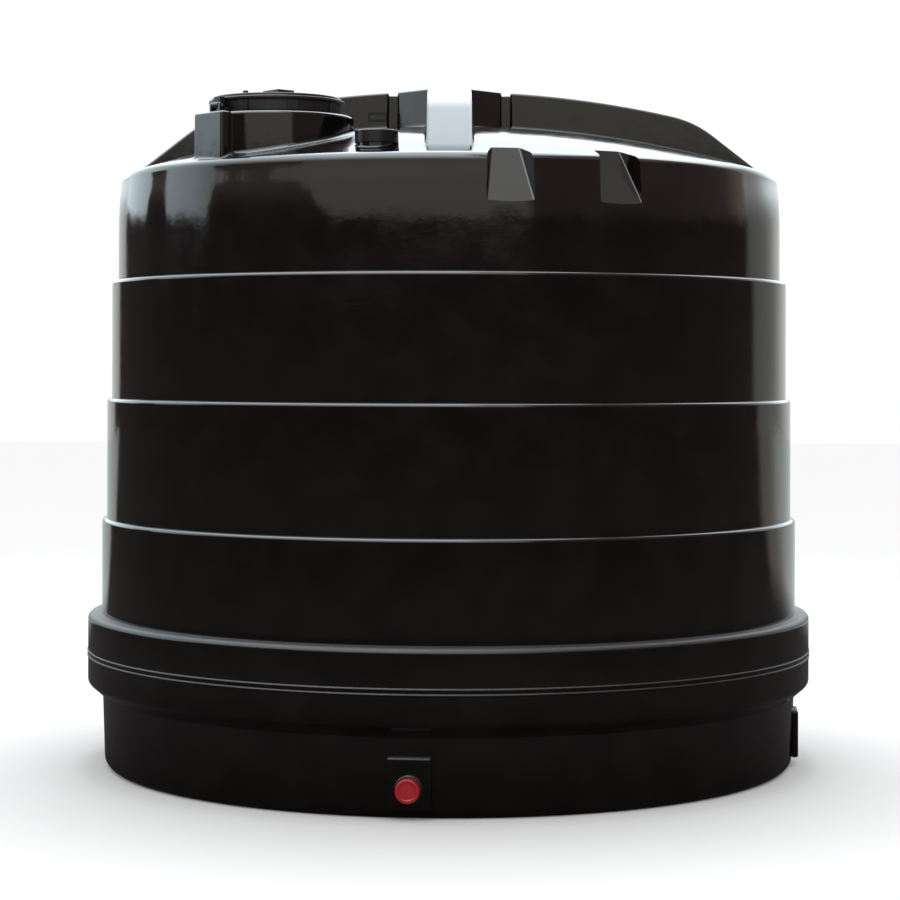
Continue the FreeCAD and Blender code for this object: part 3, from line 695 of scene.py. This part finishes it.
def recessTool(bearing):
    # Space of one ladder recess: a leaning back between two splayed sides, open outwards and upwards
    splay = (recess["footWidth"] - recess["topWidth"]) / (2 * recess["depth"])
    lean = recess["depth"] / recess["height"]
    outer = recess["footReach"] + recess["open"]
    top = recess["foot"] + recess["height"] + recess["open"]
    inner = recess["footReach"] - recess["depth"] - recess["open"] * lean
    outerHalf = recess["footWidth"] / 2 + splay * recess["open"]
    innerHalf = recess["topWidth"] / 2 - splay * recess["open"] * lean
    foot = recess["foot"] - recess["open"] / lean
    deselectAll()
    bpy.ops.mesh.primitive_cube_add(size=1)
    tool = bpy.context.object
    for vertex in tool.data.vertices:
        upper, outside, side = vertex.co.z > 0, vertex.co.x > 0, 1 if vertex.co.y > 0 else -1
        if outside:
            vertex.co = (outer, side * outerHalf, top if upper else foot)
        else:
            vertex.co = (inner, side * innerHalf, top)
    closeUp(tool)
    mesh = tool.data

    def isCrease(edge):
        # The two edges that run up the leaning back, one on each side
        first, second = (mesh.vertices[index].co for index in edge.vertices)
        rises = abs(first.z - second.z) > recess["depth"]
        leans = abs(first.x - second.x) > recess["depth"] / 2
        return rises and leans and first.y * second.y > 0

    selectBy(tool, isCrease, "edges")
    bpy.ops.mesh.bevel(offset=recess["crease"], segments=recess["creaseParts"], affect="EDGES")
    toObject()
    tool.rotation_euler = (0, 0, math.radians(bearing))
    return applyPlace(tool)


def makeRoof():
    bandRadius, foot, _ = ringSize("wall_band_4")
    corners = [(0, foot), (bandRadius, foot)] + roof["sideTurns"]
    corners.append((roof["cornerRadius"], roof["cornerHeight"], roof["cornerRound"]))
    for part in range(roof["domeParts"], -1, -1):
        reach = roof["domeEdge"] * part / roof["domeParts"]
        corners.append((reach, roofHeight(reach)))
    shell = turnedRing(corners, steps=roof["steps"], parts=roof["parts"])
    for bearing in recess["bearings"]:
        cutAway(shell, recessTool(bearing))
    holeRadius = manhole["neck"] - skin
    deselectAll()
    bpy.ops.mesh.primitive_cylinder_add(vertices=96, radius=holeRadius, depth=manhole["holeDepth"],
                                        location=(*manholeAt, manhole["holeMiddle"]))
    cutAway(shell, bpy.context.object)
    hole = Vector(manholeAt)

    def insideFaces(face):
        # The floor of the solid that was turned, and the pit that the manhole's cylinder left
        flat, level = face.center.xy, face.center.z
        inPit = (flat - hole).length < holeRadius + roof["near"]
        return level < foot + roof["near"] or (inPit and level < roofUnder(flat) - roof["near"])

    pick(shell)
    selectBy(shell, insideFaces, "polygons")
    bpy.ops.mesh.delete(type="FACE")
    toObject()
    modify(shell, "SOLIDIFY", thickness=skin, offset=-1)
    smooth(shell, crease["roof"])
    tankPiece(shell, "roofShell", "wall_band_4", "shoulder", "roof_panel_back_right", "roof_panel_back_left",
              "roof_panel_front_left", "roof_panel_front_right", "ladder_recess_1", "ladder_recess_2")


makeRoof()
print("Roof shell made")

# Ribs: one arched block with rounded edges and a toe that runs out into the roof, copied to the four bearings

rib = {"width": 0.156, "top": 2.568, "arch": 3.925, "start": 0.232, "bend": 0.938, "end": 1.186, "toe": 0.020,
       "endRise": 0.015, "edge": 0.011, "archParts": 12, "bendRound": 0.40, "footParts": 20, "archEnd": 0.1,
       "fillet": 0.022, "rampFillet": 0.003, "rampReach": 0.015}


def ribHeight(reach):
    return rib["top"] - rib["arch"] + math.sqrt(rib["arch"] ** 2 - reach ** 2)


def makeRibs():
    corners = []
    for part in range(rib["footParts"] + 1):
        reach = rib["start"] + (rib["end"] + rib["toe"] - rib["start"]) * part / rib["footParts"]
        corners.append((reach, roofHeight(reach) - roof["sink"]))
    endHeight = roofHeight(rib["end"]) + rib["endRise"]
    corners.append((rib["end"], endHeight))
    corners.append((rib["bend"], ribHeight(rib["bend"]), rib["bendRound"]))
    archEnd = rib["bend"] - rib["archEnd"]
    for part in range(rib["archParts"], -1, -1):
        reach = rib["start"] + (archEnd - rib["start"]) * part / rib["archParts"]
        corners.append((reach, ribHeight(reach)))
    first = drawLine(profilePoints(corners))
    selectAll()
    bpy.ops.mesh.edge_face_add()
    extrudeBy((0, rib["width"], 0))
    selectAll()
    bpy.ops.transform.translate(value=(0, -rib["width"] / 2, 0))
    softEdges(closeUp(first), rib["edge"])
    rampFall = (ribHeight(rib["bend"]) - endHeight) / (rib["end"] - rib["bend"])

    def sideHeight(spot):
        reach = max(abs(spot.x), abs(spot.y))
        if reach > rib["end"] - rib["rampReach"]:
            return rib["rampFillet"]
        top = ribHeight(reach) if reach < rib["bend"] else endHeight + rampFall * (rib["end"] - reach)
        return top - roofHeight(reach)

    half = rib["width"] / 2
    plan = [(rib["start"], -half), (rib["end"], -half), (rib["end"], half), (rib["start"], half)]
    for number, side in enumerate(("Right", "Back", "Left", "Front")):
        copy = first.copy()
        copy.data = first.data.copy()
        bpy.context.collection.objects.link(copy)
        copy.rotation_euler = (0, 0, number * math.pi / 2)
        smooth(applyPlace(copy))
        tankPiece(copy, "rib" + side, "rib_" + side.lower())
        turned = [Vector(corner) for corner in plan]
        for corner in turned:
            corner.rotate(Matrix.Rotation(number * math.pi / 2, 2))
        hugStrip("ribFoot" + side, softOutline(turned, rib["edge"]), rib["fillet"], sideHeight)
    bpy.data.objects.remove(first)


makeRibs()
print("Ribs made")

# Hub where the ribs meet, an octagon with a short link to each rib

hub = {"reach": 0.200, "facet": 0.078, "link": 0.037, "linkDrop": 0.010, "linkLap": (0.020, 0.012),
       "linkSink": 0.004, "linkEdge": 0.006, "edge": 0.010, "fillet": 0.018}


def makeHub():
    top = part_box("roof_hub")[1].z
    foot = roofHeight(hub["reach"]) - roof["sink"]
    deselectAll()
    bpy.ops.mesh.primitive_circle_add(vertices=8, radius=hub["reach"], fill_type="NGON",
                                      rotation=(0, 0, math.pi / 8))
    block = applyPlace(bpy.context.object)
    plan = []
    for vertex in block.data.vertices:
        wide = abs(vertex.co.x) > abs(vertex.co.y)
        across, along = (hub["reach"], hub["facet"]) if wide else (hub["facet"], hub["reach"])
        vertex.co = (math.copysign(across, vertex.co.x), math.copysign(along, vertex.co.y), foot)
        plan.append(Vector(vertex.co.xy))
    plan.sort(key=lambda spot: math.atan2(spot.y, spot.x))
    toEdit()
    selectAll()
    extrudeBy((0, 0, top - foot))
    block = smooth(softEdges(closeUp(block), hub["edge"]))
    low = (hub["reach"] - hub["linkLap"][0], -hub["link"], foot - hub["linkSink"])
    high = (rib["start"] + hub["linkLap"][1], hub["link"], top - hub["linkDrop"])
    links = []
    for number in range(4):
        link = boxPiece(low, high, hub["linkEdge"])
        link.rotation_euler = (0, 0, number * math.pi / 2)
        links.append(smooth(applyPlace(link)))
    tankPiece(joined([block] + links), "roofHub", "roof_hub")
    hugStrip("hubFoot", softOutline(plan, hub["edge"]), hub["fillet"])


makeHub()
print("Hub made")

# Manhole: neck with a flat rim, hinge block and lid

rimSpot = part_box("lid_disc")[0].lerp(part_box("lid_disc")[1], 0.5)
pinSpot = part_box("hinge_pin")[0].lerp(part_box("hinge_pin")[1], 0.5)
hingeTurn = math.atan2(pinSpot.y - rimSpot.y, pinSpot.x - rimSpot.x)


def overManhole(obj):
    # Turns a piece made at the origin towards the hinge and stands it over the manhole
    obj.rotation_euler = (0, 0, hingeTurn)
    obj.location = (rimSpot.x, rimSpot.y, 0)
    return applyPlace(obj)


def makeNeck():
    top, foot = manhole["top"], stand["foot"]
    neck = turnedRing([
        (manhole["neck"] - skin, foot), (manhole["neck"], foot), (manhole["neck"], foot + stand["second"]),
        (manhole["neck"], top, manhole["rimRound"]),
        (manhole["mouth"], top, manhole["lipRound"]),
        (manhole["mouth"], top - skin, manhole["lipRound"]),
        (manhole["neck"] - skin, top - skin, manhole["innerRound"]),
    ], steps=144, centre=(rimSpot.x, rimSpot.y))
    tankPiece(standOnRoof(neck, manhole["clear"]), "manholeNeck", "manhole_neck")
    hugStrip("neckFoot", roundOutline((rimSpot.x, rimSpot.y), manhole["neck"], 96), manhole["fillet"])


makeNeck()

hinge = {"width": 0.168, "reach": 0.303, "foot": 2.16, "inner": 0.24, "lap": 0.003, "edge": 0.010,
         "fillet": 0.020, "filletLeast": 0.004, "filletStart": 0.2, "flatReach": 1.236}


def makeHingeBlock():
    half = hinge["width"] / 2
    low, high = (hinge["inner"], -half, hinge["foot"]), (hinge["reach"], half, manhole["top"])
    body = overManhole(boxPiece(low, high, hinge["edge"]))
    deselectAll()
    bpy.ops.mesh.primitive_cylinder_add(vertices=144, radius=manhole["neck"] - hinge["lap"], depth=1,
                                        location=(rimSpot.x, rimSpot.y, manhole["top"]))
    cutAway(body, bpy.context.object)
    onRoof(body, hinge["foot"] - 0.02, hinge["foot"] + 0.02, -roof["sink"])
    tankPiece(smooth(body), "hingeBlock", "hinge_block")
    near, far = hinge["filletStart"], hinge["reach"]
    plan = [Vector(corner) for corner in ((near, -half), (far, -half), (far, half), (near, half))]
    for corner in plan:
        corner.rotate(Matrix.Rotation(hingeTurn, 2))
        corner += rimSpot.xy

    def flatRoom(spot):
        # Room that the roof's flat part leaves, so that the fillet ends before the rounded shoulder
        return max((hinge["flatReach"] - spot.length) / hug["wallShare"], hinge["filletLeast"])

    hugStrip("blockFoot", softOutline(plan, hinge["edge"]), hinge["fillet"], flatRoom)


makeHingeBlock()

lid = {
    "flange": 0.242, "edgeHeight": 0.011, "edge": 0.003, "step": 0.231, "stepHeight": 0.010,
    "stepRound": 0.0015, "raised": 0.100, "raisedRise": 0.002, "raisedSlope": 0.012, "raisedRound": 0.008,
    "dishRound": 0.03,
    "skirt": 0.229, "skirtWall": 0.016, "lugs": 8, "lugWidth": 0.039, "lugDepth": 0.005, "lap": 0.004,
    "gripLength": 0.094, "gripWidth": 0.074, "gripShift": 0.007, "gripRound": 0.004, "gripSink": 0.006,
}
breather = {"collar": 0.009, "collarRound": 0.002, "neck": 0.004, "neckFoot": 0.011, "round": 0.004}


def makeLid():
    low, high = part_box("lid_disc")
    edgeTop = low.z + lid["edgeHeight"]
    disc = turnedRing([
        (0, low.z),
        (lid["flange"], low.z, lid["edge"]),
        (lid["flange"], edgeTop, lid["edge"]),
        (lid["step"], edgeTop, lid["stepRound"]),
        (lid["step"] - 0.001, edgeTop + lid["stepHeight"], lid["edge"]),
        (lid["raised"], high.z - lid["raisedRise"], lid["dishRound"]),
        (lid["raised"] - lid["raisedSlope"], high.z, lid["raisedRound"]),
        (0, high.z),
    ], steps=144)
    lidPiece(overManhole(disc), "lidDisc", "lid_disc")
    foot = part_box("lid_skirt")[0].z
    inner = lid["skirt"] - lid["skirtWall"]
    skirt = turnedRing([
        (inner, foot, lid["edge"]), (lid["skirt"], foot, lid["edge"]),
        (lid["skirt"], low.z), (inner, low.z),
    ], steps=144, parts=3)
    lidPiece(overManhole(skirt), "lidSkirt", "lid_skirt")
    lugs = []
    for number in range(lid["lugs"]):
        lug = boxPiece((lid["skirt"] - lid["lap"], -lid["lugWidth"] / 2, foot),
                       (lid["skirt"] + lid["lugDepth"], lid["lugWidth"] / 2, low.z + 0.001), lid["edge"], 3)
        lug.rotation_euler = (0, 0, math.pi * (2 * number + 1) / lid["lugs"])
        lugs.append(applyPlace(lug))
    lidPiece(overManhole(joined(lugs)), "lidLugs", "lid_lugs")
    wide, long, shift = lid["gripWidth"] / 2, lid["gripLength"] / 2, lid["gripShift"]
    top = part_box("lid_grip")[1].z
    foot = high.z - lid["gripSink"]
    grip = boxPiece((-wide - shift, -long, foot), (wide - shift, long, top), lid["gripRound"])
    lidPiece(overManhole(grip), "lidGrip", "lid_grip")
    low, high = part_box("lid_breather")
    radius = (high.x - low.x) / 2
    plug = turnedRing([
        (0, low.z), (radius, low.z),
        (radius, low.z + breather["collar"], breather["collarRound"]),
        (radius - breather["neck"], low.z + breather["neckFoot"], breather["collarRound"] / 2),
        (radius - breather["neck"], high.z, breather["round"]),
        (0, high.z),
    ], steps=48, centre=((low.x + high.x) / 2, (low.y + high.y) / 2))
    lidPiece(plug, "lidBreather", "lid_breather")


makeLid()
print("Manhole made")

# Vent beside the front rib: a screw cap on a short base

vent = {"edge": 0.004, "footEdge": 0.002, "rim": 0.018, "slope": 0.003, "groove": 0.003, "clear": 0.001,
        "fillet": 0.008}


def makeVent():
    low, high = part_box("vent_cap")
    centre = ((low.x + high.x) / 2, (low.y + high.y) / 2)
    radius = (high.x - low.x) / 2
    cap = turnedRing([
        (0, low.z),
        (radius, low.z, vent["footEdge"]),
        (radius, high.z, vent["edge"]),
        (radius - vent["rim"], high.z),
        (radius - vent["rim"] - vent["slope"], high.z - vent["groove"], vent["footEdge"]),
        (0, high.z - vent["groove"]),
    ], steps=96, centre=centre)
    fittingPiece(cap, "ventCap", "vent_cap")
    radius = (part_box("vent_base")[1].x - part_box("vent_base")[0].x) / 2
    top, foot = low.z + 0.001, stand["foot"]
    base = turnedRing([
        (0, foot), (radius, foot), (radius, foot + stand["second"]), (radius, top), (0, top),
    ], steps=96, centre=centre)
    tankPiece(standOnRoof(base, vent["clear"]), "ventBase", "vent_base")
    hugStrip("ventFoot", roundOutline(centre, radius, 72), vent["fillet"])


makeVent()
print("Vent made")

# Flat pads on the tub, and the outlet with its red cap on the front one

pad = {"width": 0.150, "reach": 1.338, "inner": 1.311, "foot": 0.033, "top": 0.210, "round": 0.009,
       "bearing": math.radians(264.4)}
outlet = {"height": 0.105, "flange": 0.048, "flangeDepth": 0.012, "bore": 0.030, "round": 0.005, "cap": 0.041,
          "capDepth": 0.040, "capEdge": 0.002, "band": 0.006, "shoulder": 0.010, "rim": 0.010, "dish": 0.004,
          "dishSlope": 0.003, "flutes": 24, "fluteDepth": 0.0016}


def makePads():
    half = pad["width"] / 2
    for number, side in enumerate(("Front", "Right", "Back", "Left")):
        plate = boxPiece((pad["inner"], -half, pad["foot"]), (pad["reach"], half, pad["top"]), pad["round"])
        plate.rotation_euler = (0, 0, pad["bearing"] + number * math.pi / 2)
        tankPiece(plate, "outletPad" + side, "outlet_pad_" + side.lower())


def alongOutlet(obj, reach):
    obj.rotation_euler = (0, math.pi / 2, pad["bearing"])
    obj.location = (reach * math.cos(pad["bearing"]), reach * math.sin(pad["bearing"]), outlet["height"])
    return applyPlace(obj)


def makeOutlet():
    flange = turnedRing([
        (outlet["bore"], 0), (outlet["flange"], 0),
        (outlet["flange"], outlet["flangeDepth"], outlet["round"]),
        (outlet["bore"], outlet["flangeDepth"]),
    ], steps=96)
    fittingPiece(alongOutlet(flange, pad["reach"]), "outletFlange", "outlet_flange")
    depth, radius = outlet["capDepth"], outlet["cap"]
    rim, dish = radius - outlet["rim"], depth - outlet["dish"]
    cap = turnedRing([
        (0, 0),
        (radius, 0, outlet["capEdge"]),
        (radius, outlet["band"]), (radius, depth - outlet["shoulder"]),
        (radius, depth, outlet["round"]),
        (rim, depth, outlet["capEdge"]),
        (rim - outlet["dishSlope"], dish, outlet["capEdge"]),
        (0, dish),
    ], steps=144)
    for vertex in cap.data.vertices:
        reach = math.hypot(vertex.co.x, vertex.co.y)
        fluted = outlet["band"] - 0.001 < vertex.co.z < depth - outlet["shoulder"] + 0.001
        if fluted and reach > radius - 0.0005:
            turn = math.atan2(vertex.co.y, vertex.co.x)
            shrink = 1 - outlet["fluteDepth"] / radius * (0.5 + 0.5 * math.cos(outlet["flutes"] * turn))
            vertex.co.x *= shrink
            vertex.co.y *= shrink
    alongOutlet(cap, pad["reach"] + outlet["flangeDepth"])
    finishPiece(cap, "outletCap", "tank", "cap_plastic", capPlastic, "outlet_cap")


makePads()
makeOutlet()
print("Outlet made")

# Everything that is still a CAD node gets its finish here

cadFinish = {
    "tank_plastic": tankPlastic, "lid_plastic": lidPlastic, "fitting_plastic": fittingPlastic,
    "cap_plastic": capPlastic, "hinge_steel": hingeSteel,
}
for part in frame["record"]["subparts"]:
    node = frame["nodes"][part["node"]]
    material = cadFinish[part["material_slot"]]
    if not node.data.materials:
        node.data.materials.append(material)
    for index in range(len(node.data.materials)):
        node.data.materials[index] = material
print("CAD nodes finished")

# Camera: eye height and distance of the photograph, level, with its framing shift and slight roll

view = {"distance": 9.419, "side": 0.0039, "eye": 1.502, "sensor": 36, "lens": 97.44, "shift": -0.0904,
        "roll": -0.0022}
cameraData = bpy.data.cameras.new("camera")
cameraData.sensor_width = view["sensor"]
cameraData.lens = view["lens"]
cameraData.shift_y = view["shift"]
camera = bpy.data.objects.new("camera", cameraData)
camera.location = (view["side"], -view["distance"], view["eye"])
camera.rotation_euler = (math.pi / 2, view["roll"], 0)
bpy.context.scene.collection.objects.link(camera)
bpy.context.scene.camera = camera

# Studio: a pale floor and a white background for the eye, and zones for the gloss, by direction only.
# A zone is a span over which one tone passes into the next: turns about the tank from its front, heights
# as parts of a unit direction, and metres on the floor

studio = {
    "floorSize": 80, "floorWhite": (0.93, 0.93, 0.93, 1), "floorDark": (0.06, 0.055, 0.055, 1),
    "floorBack": (0.40, 0.39, 0.36, 1), "floorFar": (0.66, 0.70, 0.68, 1), "floorRough": 0.9,
}
floorZones = {"behindLeft": (-2.50, -2.43), "behindRight": (2.08, 2.17), "away": (3.5, 7.0),
              "turned": (2.25, 2.45)}


def turnAbout(tree, vector):
    # The turn of a place or a direction about the tank, with its parts along the tank and up
    across, along, up = axisParts(tree, vector)
    return mathNode(tree, "ARCTAN2", across, times(tree, along, -1.0)), along, up


def makeFloor():
    deselectAll()
    bpy.ops.mesh.primitive_plane_add(size=studio["floorSize"], location=(0, 0, 0))
    floor = bpy.context.object
    floor.name = "floor"
    material, tree, shader = newMaterial("paleFloor")
    shader.inputs["Roughness"].default_value = studio["floorRough"]
    shader.inputs["Specular IOR Level"].default_value = 0.0
    turn, along, _ = turnAbout(tree, objectPlace(tree))
    left = rangeNode(tree, turn, floorZones["behindLeft"], 1.0, 0.0)
    behind = larger(tree, left, rangeNode(tree, turn, floorZones["behindRight"]))
    far = times(tree, behind, rangeNode(tree, along, floorZones["away"]))
    turned = rangeNode(tree, mathNode(tree, "ABSOLUTE", turn), floorZones["turned"])
    ground = mixColour(tree, turned, studio["floorBack"], studio["floorFar"])
    mirrored = mixColour(tree, far, studio["floorDark"], ground)
    path = addNode(tree, "ShaderNodeLightPath")
    seen = mixColour(tree, path.outputs["Is Glossy Ray"], studio["floorWhite"], mirrored)
    tree.links.new(seen, shader.inputs["Base Color"])
    floor.data.materials.append(material)


makeFloor()

sky = {
    "seen": (1.0, 1.0, 1.0, 1), "soft": (1.02, 1.02, 1.02, 1), "low": (0.07, 0.055, 0.055, 1),
    "middle": (0.36, 0.33, 0.27, 1), "front": (0.95, 0.94, 0.84, 1), "high": (2.3, 2.3, 2.25, 1),
    "left": (1.95, 2.3, 2.45, 1), "right": (0.24, 0.19, 0.18, 1), "rightBack": (0.62, 0.55, 0.45, 1),
    "zenith": (7.4, 8.2, 8.8, 1), "backLow": (0.42, 0.43, 0.41, 1), "backFar": (0.8, 0.82, 0.8, 1),
    "backHigh": (2.2, 2.4, 2.55, 1), "backRight": (1.1, 1.15, 1.1, 1),
    "horizon": 0.078, "ragged": 0.03, "tall": 0.14, "tallRagged": 2.2, "narrow": -2.08, "tilt": 0.12,
    "topShare": 0.75, "cloudScale": 13.0, "cloudDetail": 5.0, "cloudRough": 0.62,
}
zones = {
    "tallStart": (-1.565, -1.50), "tallEnd": (-0.98, -0.68), "narrow": (0.05, 0.14), "edge": (-0.012, 0.012),
    "middle": (0.08, 0.2), "high": (0.22, 0.5), "left": (-1.75, -1.3), "right": (0.42, 0.52),
    "fade": (0.55, 0.92), "wide": (0.5, 0.9), "top": (0.85, 0.97), "rightBack": (1.85, 2.1),
    "crown": (0.90, 0.955), "glow": (0.45, 0.97), "notRight": (0.12, 0.28), "behindLeft": (-2.62, -2.55),
    "behindRight": (2.09, 2.18), "backRise": (0.06, 0.14), "backEdge": (2.25, 2.6), "backFar": (2.4, 2.7),
    "backTop": (0.42, 0.8),
}


def zone(tree, value, name, style="SMOOTHSTEP"):
    return rangeNode(tree, value, zones[name], style=style)


def lessZone(tree, value, name, most=1.0):
    return rangeNode(tree, value, zones[name], most, 0.0)


def skyEdge(tree, direction, turn):
    # Height at which the low dark zone ends: ragged, and taller to the left and over one narrow turn
    cloud = noiseNode(tree, direction, sky["cloudScale"], sky["cloudDetail"], sky["cloudRough"])
    cloud = mathNode(tree, "SUBTRACT", cloud, 0.5)
    start = rangeNode(tree, turn, zones["tallStart"], 0.0, sky["tall"])
    tall = times(tree, start, lessZone(tree, turn, "tallEnd"))
    beside = mathNode(tree, "ABSOLUTE", mathNode(tree, "SUBTRACT", turn, sky["narrow"]))
    tall = larger(tree, tall, lessZone(tree, beside, "narrow", sky["tall"]))
    rough = plus(tree, sky["ragged"], times(tree, tall, sky["tallRagged"]))
    level = plus(tree, sky["horizon"], tall)
    return plus(tree, level, times(tree, cloud, rough))


def skyAround(tree, direction, turn, along, up):
    # Sides and front: a low dark zone, a pale sky over it that is dimmer to the right, and a bright crown
    ahead = mixColour(tree, zone(tree, up, "high"), sky["front"], sky["high"])
    pale = mixColour(tree, lessZone(tree, turn, "left"), ahead, sky["left"])
    top = times(tree, zone(tree, turn, "wide"), lessZone(tree, up, "top", sky["topShare"]))
    dimReach = larger(tree, lessZone(tree, up, "fade"), top)
    dimShare = times(tree, zone(tree, turn, "right"), dimReach)
    dim = mixColour(tree, zone(tree, turn, "rightBack"), sky["right"], sky["rightBack"])
    upper = mixColour(tree, dimShare, pale, dim)
    tilted = plus(tree, up, times(tree, along, sky["tilt"]))
    glow = times(tree, zone(tree, up, "glow", "LINEAR"), lessZone(tree, turn, "notRight"))
    crown = larger(tree, zone(tree, tilted, "crown"), glow)
    upper = mixColour(tree, crown, upper, sky["zenith"])
    lower = mixColour(tree, zone(tree, up, "middle"), sky["low"], sky["middle"])
    above = mathNode(tree, "SUBTRACT", up, skyEdge(tree, direction, turn))
    return mixColour(tree, zone(tree, above, "edge"), lower, upper)


def skyBehind(tree, turn, up, behindRight):
    # Behind the tank: pale ground, a bright sky that is dimmer at its right edge, and the same crown
    edge = times(tree, lessZone(tree, turn, "backEdge"), behindRight)
    upper = mixColour(tree, edge, sky["backHigh"], sky["backRight"])
    far = zone(tree, mathNode(tree, "ABSOLUTE", turn), "backFar")
    lower = mixColour(tree, far, sky["backLow"], sky["backFar"])
    back = mixColour(tree, zone(tree, up, "backRise"), lower, upper)
    return mixColour(tree, zone(tree, up, "backTop", "LINEAR"), back, sky["zenith"])


def makeWorld():
    # Soft even light for the faces, a white background for the eye, and the zones for the gloss
    world = bpy.data.worlds.new("studio")
    bpy.context.scene.world = world
    world.use_nodes = True
    tree = world.node_tree
    direction = addNode(tree, "ShaderNodeTexCoord").outputs["Generated"]
    turn, along, up = turnAbout(tree, direction)
    around = skyAround(tree, direction, turn, along, up)
    behindRight = zone(tree, turn, "behindRight")
    behind = larger(tree, lessZone(tree, turn, "behindLeft"), behindRight)
    glossy = mixColour(tree, behind, around, skyBehind(tree, turn, up, behindRight))
    path = addNode(tree, "ShaderNodeLightPath")
    reflected = mixColour(tree, path.outputs["Is Glossy Ray"], sky["soft"], glossy)
    seen = mixColour(tree, path.outputs["Is Camera Ray"], reflected, sky["seen"])
    tree.links.new(seen, tree.nodes["Background"].inputs["Color"])


makeWorld()

lamp = {"place": (0, 1.2, 7.6), "target": (0, 0, 2.2), "size": (3.4, 2.6), "power": 220,
        "colour": (0.93, 1.0, 1.03)}


def makeLamp():
    # One soft lamp overhead, which neither the eye nor the gloss sees
    data = bpy.data.lights.new("overhead", "AREA")
    data.shape = "RECTANGLE"
    data.size, data.size_y = lamp["size"]
    data.energy = lamp["power"]
    data.color = lamp["colour"]
    overhead = bpy.data.objects.new("overhead", data)
    overhead.location = lamp["place"]
    aim = Vector(lamp["target"]) - Vector(lamp["place"])
    overhead.rotation_euler = aim.to_track_quat("-Z", "Y").to_euler()
    bpy.context.scene.collection.objects.link(overhead)
    overhead.visible_camera = False
    overhead.visible_glossy = False


makeLamp()
print("Studio made")

bpy.context.scene.view_settings.view_transform = "Standard"
